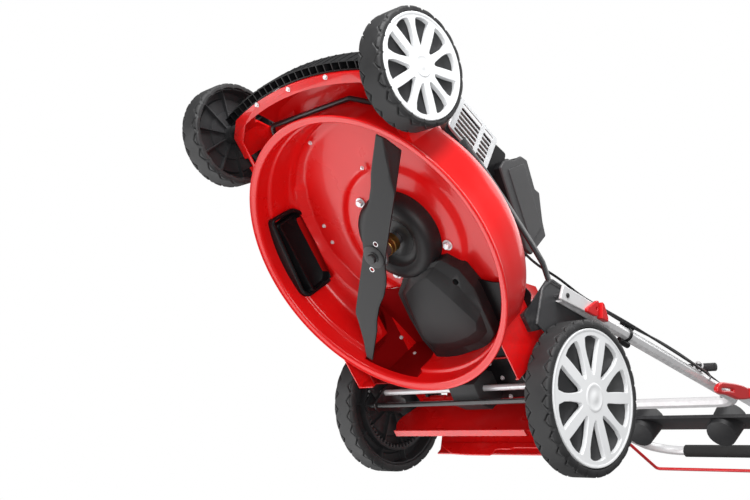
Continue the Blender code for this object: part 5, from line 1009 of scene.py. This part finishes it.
hot_steel = surface(
    "hot_steel", (0.25, 0.23, 0.21), (0.14, 0.12, 0.11), 0.45, 0.2, metal=0.8, grain=(300.0, 0.08), mottle=18.0,
)
dress(cast_alloy, "engine_block")
dress(gloss_black, "blower_housing")
dress(matt_black, "recoil_starter", "fuel_tank", "spark_plug")
dress(satin_black, "fuel_cap", "oil_cap", "carburettor", "starter_grip")
dress(hot_steel, "muffler")

# The muffler guard: a bright pressed plate with seven long slots beside seven short ones and a folded edge. A
# dark heat shield behind it closes the corner up to the air filter.
guard_silver = surface(
    "guard_silver", (0.60, 0.61, 0.62), (0.50, 0.51, 0.52), 0.30, 0.10, metal=0.7, grain=(500.0, 0.03),
    wear=((0.30, 0.28, 0.26), 0.3),
)


def smooth_path(points, radius, steps=6):
    """An open 3-D line with its inner corners rounded."""
    out = [points[0]]
    for before, point, after in zip(points, points[1:], points[2:]):
        out += corner(before, point, after, radius, steps)
    return out + [points[-1]]


GUARD_TOP = Vector((0.152, -0.5590, 0.2990))
GUARD_END = Vector((0.152, -0.4530, 0.3430))
GUARD_LOW = Vector((0.1635, -0.5330, 0.2190))
along_guard, down_guard = GUARD_END - GUARD_TOP, GUARD_LOW - GUARD_TOP
length, drop = along_guard.length, down_guard.length
slots = []
for k in range(7):
    v = drop * (0.13 + 0.122 * k)
    for u0, u1 in ((0.10, 0.60), (0.68, 0.90)):
        low, high, start, end = v - 0.0032, v + 0.0032, length * u0, length * u1
        slots.append(rounded([(start, low), (end, low), (end, high), (start, high)], 0.0030, 3))
edge_line = rounded([(0, 0), (length, 0), (length, drop), (0, drop)], 0.0090, 5)
sheet = plate("guard_sheet", edge_line, slots, 0.0018, 0.0006)
placed(sheet, at(*GUARD_TOP), along_guard, down_guard)
fold = pipe("guard_fold", smooth_path([
    at(*(GUARD_TOP + along_guard * u + down_guard * v)) + Vector((-0.0015, 0, 0))
    for u, v in ((0.0, 0.04), (0.0, 0.98), (0.98, 0.98), (0.985, 0.02), (0.02, 0.02))
], 0.0090, 5), 0.0022, 12)
merged("guard_sheet", [sheet, fold], guard_silver, "chassis", ["muffler_guard"], 34)
screen = upright_plate("heat_screen", rounded([
    (-0.552, 0.292), (-0.452, 0.335), (-0.415, 0.356), (-0.396, 0.330), (-0.400, 0.262), (-0.452, 0.246),
    (-0.528, 0.224),
], 0.006, 4), 0.1455, 0.0030, 0.0008)
merged("heat_screen", [screen], plug_black, "chassis", [], 30)

# The air filter: an angular box with bevelled faces, moulded in two halves. Its grey lid carries a raised step
# and clips over the box. The box is black, darker than the lid, as painted shade on its sides.
lid_grey = surface(
    "lid_grey", (0.046, 0.046, 0.048), (0.060, 0.060, 0.062), 0.46, 0.10, grain=(620.0, 0.05),
    wear=((0.10, 0.10, 0.105), 0.4), dust=((0.10, 0.095, 0.09), 0.06),
)
FILTER = [
    (-0.409, 0.302), (-0.414, 0.321), (-0.401, 0.349), (-0.399, 0.371), (-0.384, 0.383), (-0.328, 0.369),
    (-0.316, 0.377), (-0.295, 0.365), (-0.266, 0.349), (-0.240, 0.340), (-0.234, 0.277), (-0.248, 0.270),
]
inner = [(y * 0.985 - 0.0050, z * 0.985 + 0.0050) for y, z in FILTER]
# The box's black is painted shade for its sides, darker than the grey lid.
box = upright_plate("filter_box", rounded(inner, 0.0030, 3), 0.1485, 0.0240, 0.0012)
merged("filter_box", [box], plug_black, "chassis", ["air_filter_cover"], 34)
lid = upright_plate("filter_lid", rounded(FILTER, 0.0030, 3), 0.1625, 0.0070, 0.0022, 3)
FILTER_STEP = [(-0.396, 0.318), (-0.384, 0.368), (-0.330, 0.354), (-0.262, 0.336), (-0.252, 0.288)]
step = upright_plate("filter_step", rounded(FILTER_STEP, 0.0040, 3), 0.1668, 0.0030, 0.0010)
merged("filter_lid", [lid, step], lid_grey, "chassis", [], 34)

# The handle's fittings, on each side: a painted steel bracket with a raised edge, the tube's flattened end
# with its black bolt, a red clamp lever beside its fixed seat, the red quick-release lever at the joint, and
# a black clip for the cables.
HANDLE_ANGLE = math.radians(38.5)
PIVOT = (-0.165, 0.226)
CLAMP_PIN, CLAMP_WAY = (-0.1024, 0.2758), (0.688, 0.725)
bracket_grey = surface(
    "bracket_grey", (0.050, 0.051, 0.054), (0.064, 0.065, 0.068), 0.34, 0.10, metal=0.2, grain=(300.0, 0.03),
    wear=((0.20, 0.20, 0.20), 0.4),
)
tube_grey = surface(
    "tube_grey", (0.80, 0.80, 0.81), (0.74, 0.74, 0.75), 0.26, 0.08, metal=0.15, coat=0.4, coat_rough=0.15,
    grain=(420.0, 0.02), wear=((0.22, 0.22, 0.23), 0.3),
)
lever_red = surface(
    "lever_red", (0.66, 0.012, 0.015), (0.58, 0.009, 0.012), 0.28, 0.08, coat=0.3, coat_rough=0.15,
    grain=(500.0, 0.02), wear=((0.75, 0.15, 0.14), 0.2),
)


def handle_at(x, s, lift=0.0):
    """A point on the handle: s along its tubes from their pivot, lift out of their plane."""
    c, n = math.cos(HANDLE_ANGLE), math.sin(HANDLE_ANGLE)
    return at(x, PIVOT[0] + s * c - lift * n, PIVOT[1] + s * n + lift * c)


def on_tube(side, x, s, lift):
    """A point on one side's tube, from handle_at on the left mirrored to the right."""
    point = handle_at(x, s, lift)
    return Vector((side * point.x, point.y, point.z))


def from_pin(pairs):
    """Points of the clamp from its pin: along the clamp's own way, then across it."""
    (y, z), (c, n) = CLAMP_PIN, CLAMP_WAY
    return [(y + c * d - n * e, z + n * d + c * e) for d, e in pairs]


def skewer(obj, start, end):
    """Lays a mesh turned about X along the line from one point to another."""
    obj.matrix_world = aimed(start, end - start, "X", "Z")


CHEEK = [
    (-0.122, 0.161), (-0.156, 0.147), (-0.199, 0.203), (-0.202, 0.220), (-0.197, 0.232), (-0.187, 0.243),
    (-0.100, 0.305), (-0.085, 0.252),
]
BEAD = [(-0.157, 0.146), (-0.199, 0.203), (-0.196, 0.236), (-0.186, 0.243), (-0.100, 0.305)]
TUBE_END = [(-0.1885, 0.2250), (-0.1740, 0.2000), (-0.1060, 0.2590), (-0.1100, 0.2860)]
WING_LINE = [
    (-0.0020, 0.0169), (0.0035, 0.0185), (0.0055, 0.0165), (0.0055, -0.0100), (-0.0034, -0.0130),
    (-0.0299, -0.0096), (-0.0311, -0.0033),
]
SEAT_LINE = [(0.0090, 0.0165), (0.0152, 0.0145), (0.0305, -0.0108), (0.0297, -0.0179), (0.0090, -0.0150)]
RELEASE_LINE = [
    (0.6390, 0.0060), (0.630, 0.0095), (0.600, 0.0080), (0.570, 0.0030), (0.535, -0.0050), (0.5135, -0.0100),
    (0.500, -0.0180), (0.4920, -0.0280), (0.4940, -0.0370), (0.510, -0.0370), (0.5422, -0.0300),
    (0.5868, -0.0270), (0.620, -0.0170), (0.6390, -0.0080),
]
RELEASE_SLOT = [
    (0.510, -0.0240), (0.545, -0.0150), (0.562, -0.0120), (0.562, -0.0165), (0.545, -0.0200), (0.510, -0.0290),
]
RELEASE_BOSS = [
    (-0.0105, 0.0), (-0.0105, 0.0070), (-0.0094, 0.0080), (0.0094, 0.0080), (0.0105, 0.0070), (0.0105, 0.0),
]
JOINT_S, RELEASE_X, CLIP_X = 0.632, 0.2743, 0.2280
CHEEK_X, TUBE_END_X, BOLT_X, CLAMP_X, SEAT_X = 0.2160, 0.2440, 0.2470, 0.2503, 0.2530
for word, side in (("left", 1), ("right", -1)):
    bead_line = smooth_path([at(side * (CHEEK_X + 0.0005), y, z) for y, z in BEAD], 0.010, 8)
    bead = pipe("bracket_bead", bead_line, 0.0030, 12)
    cheek = upright_plate("bracket_cheek", rounded(CHEEK, 0.006, 4), side * CHEEK_X, 0.0030, 0.0008)
    merged("bracket_cheek_" + word, [bead, cheek], bracket_grey, "chassis", [], 40)
    flat = upright_plate("tube_flat", rounded(TUBE_END, 0.003, 4), side * TUBE_END_X, 0.0060, 0.0014, 3)
    merged("tube_flat_" + word, [flat], tube_grey, "chassis", [], 34)
    bolt = fixing("bb", at(side * BOLT_X, -0.1680, 0.2210), (side, 0, 0), 0.0085, 0.0026)
    merged("bracket_bolt_" + word, bolt, black_steel, "chassis", [], 30)
    wing, eye = rounded(from_pin(WING_LINE), 0.0022, 4), from_pin(circle(0.0030, 12, -0.0010, 0.0020))
    lever = upright_plate("clamp_lever", wing, side * CLAMP_X, 0.0078, 0.0018, 3, [eye])
    merged("clamp_lever_" + word, [lever], lever_red, "bracket_lever_" + word, ["bracket_lever_" + word], 34)
    seat_line = rounded(from_pin(SEAT_LINE), 0.0022, 3)
    seat = upright_plate("clamp_seat", seat_line, side * SEAT_X, 0.0130, 0.0020, 3)
    merged("clamp_seat_" + word, [seat], lever_red, "chassis", [], 34)

    slot = rounded(RELEASE_SLOT, 0.0020, 3)
    release = plate("release_blade", rounded(RELEASE_LINE, 0.006, 4), [slot], 0.0110, 0.0030, 3)
    c, n = math.cos(HANDLE_ANGLE), math.sin(HANDLE_ANGLE)
    placed(release, at(side * RELEASE_X, *PIVOT), (0, c, n), (0, -n, c))
    boss = lathe("release_boss", RELEASE_BOSS, 40)
    skewer(boss, on_tube(side, RELEASE_X, JOINT_S, 0.0), on_tube(side, RELEASE_X, JOINT_S, 1.0))
    merged("release_lever_" + word, [release, boss], lever_red, "cam_lever_" + word, ["cam_lever_" + word], 34)

    sleeve = lathe("clip_sleeve", [(-0.004, 0.0128), (-0.003, 0.0146), (0.003, 0.0146), (0.004, 0.0128)], 48)
    skewer(sleeve, on_tube(side, CLIP_X, 0.218, 0.0), on_tube(side, CLIP_X, 1.218, 0.0))
    saddle = pipe("clip_saddle", [on_tube(side, CLIP_X, s, 0.0185) for s in (0.202, 0.238)], 0.0056, 16)
    foot = pipe("clip_foot", [on_tube(side, CLIP_X, s, -0.0190) for s in (0.196, 0.228)], 0.0064, 12)
    merged("cable_clip_" + word, [sleeve, saddle, foot], plug_black, "chassis", [], 34)
dress(paint_black, "handle_bracket_left", "handle_bracket_right")

# The handle: two bright steel tubes bent into bows, bolted together at the joints. The lower one's ends are
# flattened inside the brackets. The upper one carries a foam grip, the two bails and the moulded tray.
foam_black = surface(
    "foam_black", (0.014, 0.014, 0.014), (0.024, 0.024, 0.024), 0.85, 0.10, grain=(900.0, 0.14), mottle=20.0,
)
tray_grey = surface(
    "tray_grey", (0.010, 0.010, 0.011), (0.018, 0.018, 0.020), 0.42, 0.12, grain=(620.0, 0.05),
    wear=((0.08, 0.08, 0.085), 0.4), dust=((0.09, 0.085, 0.08), 0.08),
)
tube = copy_of("lower_handle")
for x0, x1 in ((0.200, 0.260), (-0.260, -0.200)):
    carve(tube, block("tube_end", (x0, -0.230, 0.150), (x1, -0.160, 0.270)))
merged("lower_tube", [tube], tube_grey, "chassis", ["lower_handle"], 40)
dress(tube_grey, "upper_handle")
dress(steel, "joint_bolt_left", "joint_bolt_right", "brake_bail")
dress(lever_red, "drive_bail")
dress(foam_black, "grip_sleeve")
dress(tray_grey, "cup_tray")

# The control cables: two black plastic sheaths over steel wire, clipped along the left tube from the engine's
# side to the joint. A bent steel wire on the tube guides them near the joint.
CABLE_LOW = [(0.150, -0.300, 0.250), (0.196, -0.232, 0.238), (0.212, -0.186, 0.262), (0.2160, -0.120, 0.300)]
CABLE_ROUTES = (
    (0.2300, (
        (0.20, 0.0190), (0.26, 0.0210), (0.33, 0.0250), (0.40, 0.0245), (0.47, 0.0215), (0.54, 0.0160),
        (0.585, 0.0120),
    )),
    (0.2400, ((0.20, 0.0180), (0.26, 0.0175), (0.34, 0.0165), (0.42, 0.0145), (0.47, 0.0130), (0.500, 0.0120))),
)
cables = []
for x, route in CABLE_ROUTES:
    points = [at(*place) for place in CABLE_LOW] + [handle_at(x, s, lift) for s, lift in route]
    cables.append(pipe("cable", smooth_path(points, 0.030, 8), 0.0024, 12))
merged("control_cables", cables, matt_black, "chassis", [], 60)
guide = pipe("cable_guide", smooth_path([
    handle_at(0.2420, 0.470, 0.0135), handle_at(0.2430, 0.512, 0.0135), handle_at(0.2450, 0.524, 0.0060),
    handle_at(0.2440, 0.516, -0.0060),
], 0.006, 6), 0.0016, 10)
merged("cable_guide", [guide], dull_steel, "chassis", [], 40)

# The floor: a pale matt sheet under the wheels. Only a camera above it sees it, so the photo's view from below
# looks through it.
bpy.ops.mesh.primitive_plane_add(size=14.0, location=(0, 0, 0))
floor = bpy.context.object
floor.name = "floor"
pale = bpy.data.materials.new("pale_floor")
pale.use_nodes = True
tree = pale.node_tree
shader = tree.nodes["Principled BSDF"]
shader.inputs["Base Color"].default_value = (0.86, 0.86, 0.86, 1)
shader.inputs["Roughness"].default_value = 0.7
rays = tree.nodes.new("ShaderNodeLightPath")
facing = tree.nodes.new("ShaderNodeNewGeometry")
front = maths(tree, "SUBTRACT", 1.0, facing.outputs["Backfacing"])
seen = maths(tree, "MULTIPLY", rays.outputs["Is Camera Ray"], front)
clear = tree.nodes.new("ShaderNodeBsdfTransparent")
blend = tree.nodes.new("ShaderNodeMixShader")
tree.links.new(seen, blend.inputs["Fac"])
tree.links.new(clear.outputs["BSDF"], blend.inputs[1])
tree.links.new(shader.outputs["BSDF"], blend.inputs[2])
tree.links.new(blend.outputs["Shader"], tree.nodes["Material Output"].inputs["Surface"])
floor.data.materials.append(pale)
floor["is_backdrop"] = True

# The studio: a white room that is full white to the camera and dimmer as light and in reflections. Five
# square soft boxes stand round the mower.
world = bpy.data.worlds.new("studio")
bpy.context.scene.world = world
world.use_nodes = True
tree = world.node_tree
back = tree.nodes["Background"]
back.inputs["Color"].default_value = (1, 1, 1, 1)
rays = tree.nodes.new("ShaderNodeLightPath")
shown = maths(tree, "MAXIMUM", rays.outputs["Is Camera Ray"], rays.outputs["Is Transmission Ray"])
glow = ranged(tree, rays.outputs["Is Glossy Ray"], 0.0, 1.0, 0.24, 0.22)
strength = maths(tree, "MAXIMUM", glow, shown)
tree.links.new(strength, back.inputs["Strength"])
MIDDLE = at(0, -0.25, 0.2)


def lamp(name, offset, size, power):
    """A square soft box that faces the mower's middle from an offset."""
    data = bpy.data.lights.new(name, "AREA")
    data.size = size
    data.energy = power
    link(name, data).matrix_world = aimed(MIDDLE + Vector(offset), offset)


# In the photo, up is (0, -0.80, 0.60) and the way to the camera is (0.71, -0.26, -0.65)
lamp("key", (0.9, -1.9, 0.3), 1.5, 66)
lamp("fill", (1.6, -0.6, -1.5), 1.2, 26)
lamp("side", (-1.8, -0.8, -1.0), 1.0, 10)
lamp("floor_glow", (-1.3, 0.5, -1.2), 2.0, 26)
lamp("top", (0.4, 0.2, 2.4), 2.0, 30)

# The camera: solved from the wheels, the deck and the handle in the photograph. It looks up at the mower
# from below its rear left side.
camera_data = bpy.data.cameras.new("photo_camera")
camera_data.sensor_width = 36.0
camera_data.lens = 48.013
camera_data.clip_end = 60.0
camera = link("photo_camera", camera_data)
right = Vector((0.69151, 0.43481, 0.57685))
up = Vector((0.13400, -0.86191, 0.48904))
forward = Vector((-0.70983, 0.26088, 0.65428))
eye = at(1.30235, -0.86256, -1.12420)
camera.matrix_world = axes(eye, right, up, -forward)
bpy.context.scene.camera = camera
bpy.context.scene.view_settings.view_transform = "Standard"

box = {"cad": [list(p) for p in cad_box], "visual": [list(p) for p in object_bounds()]}
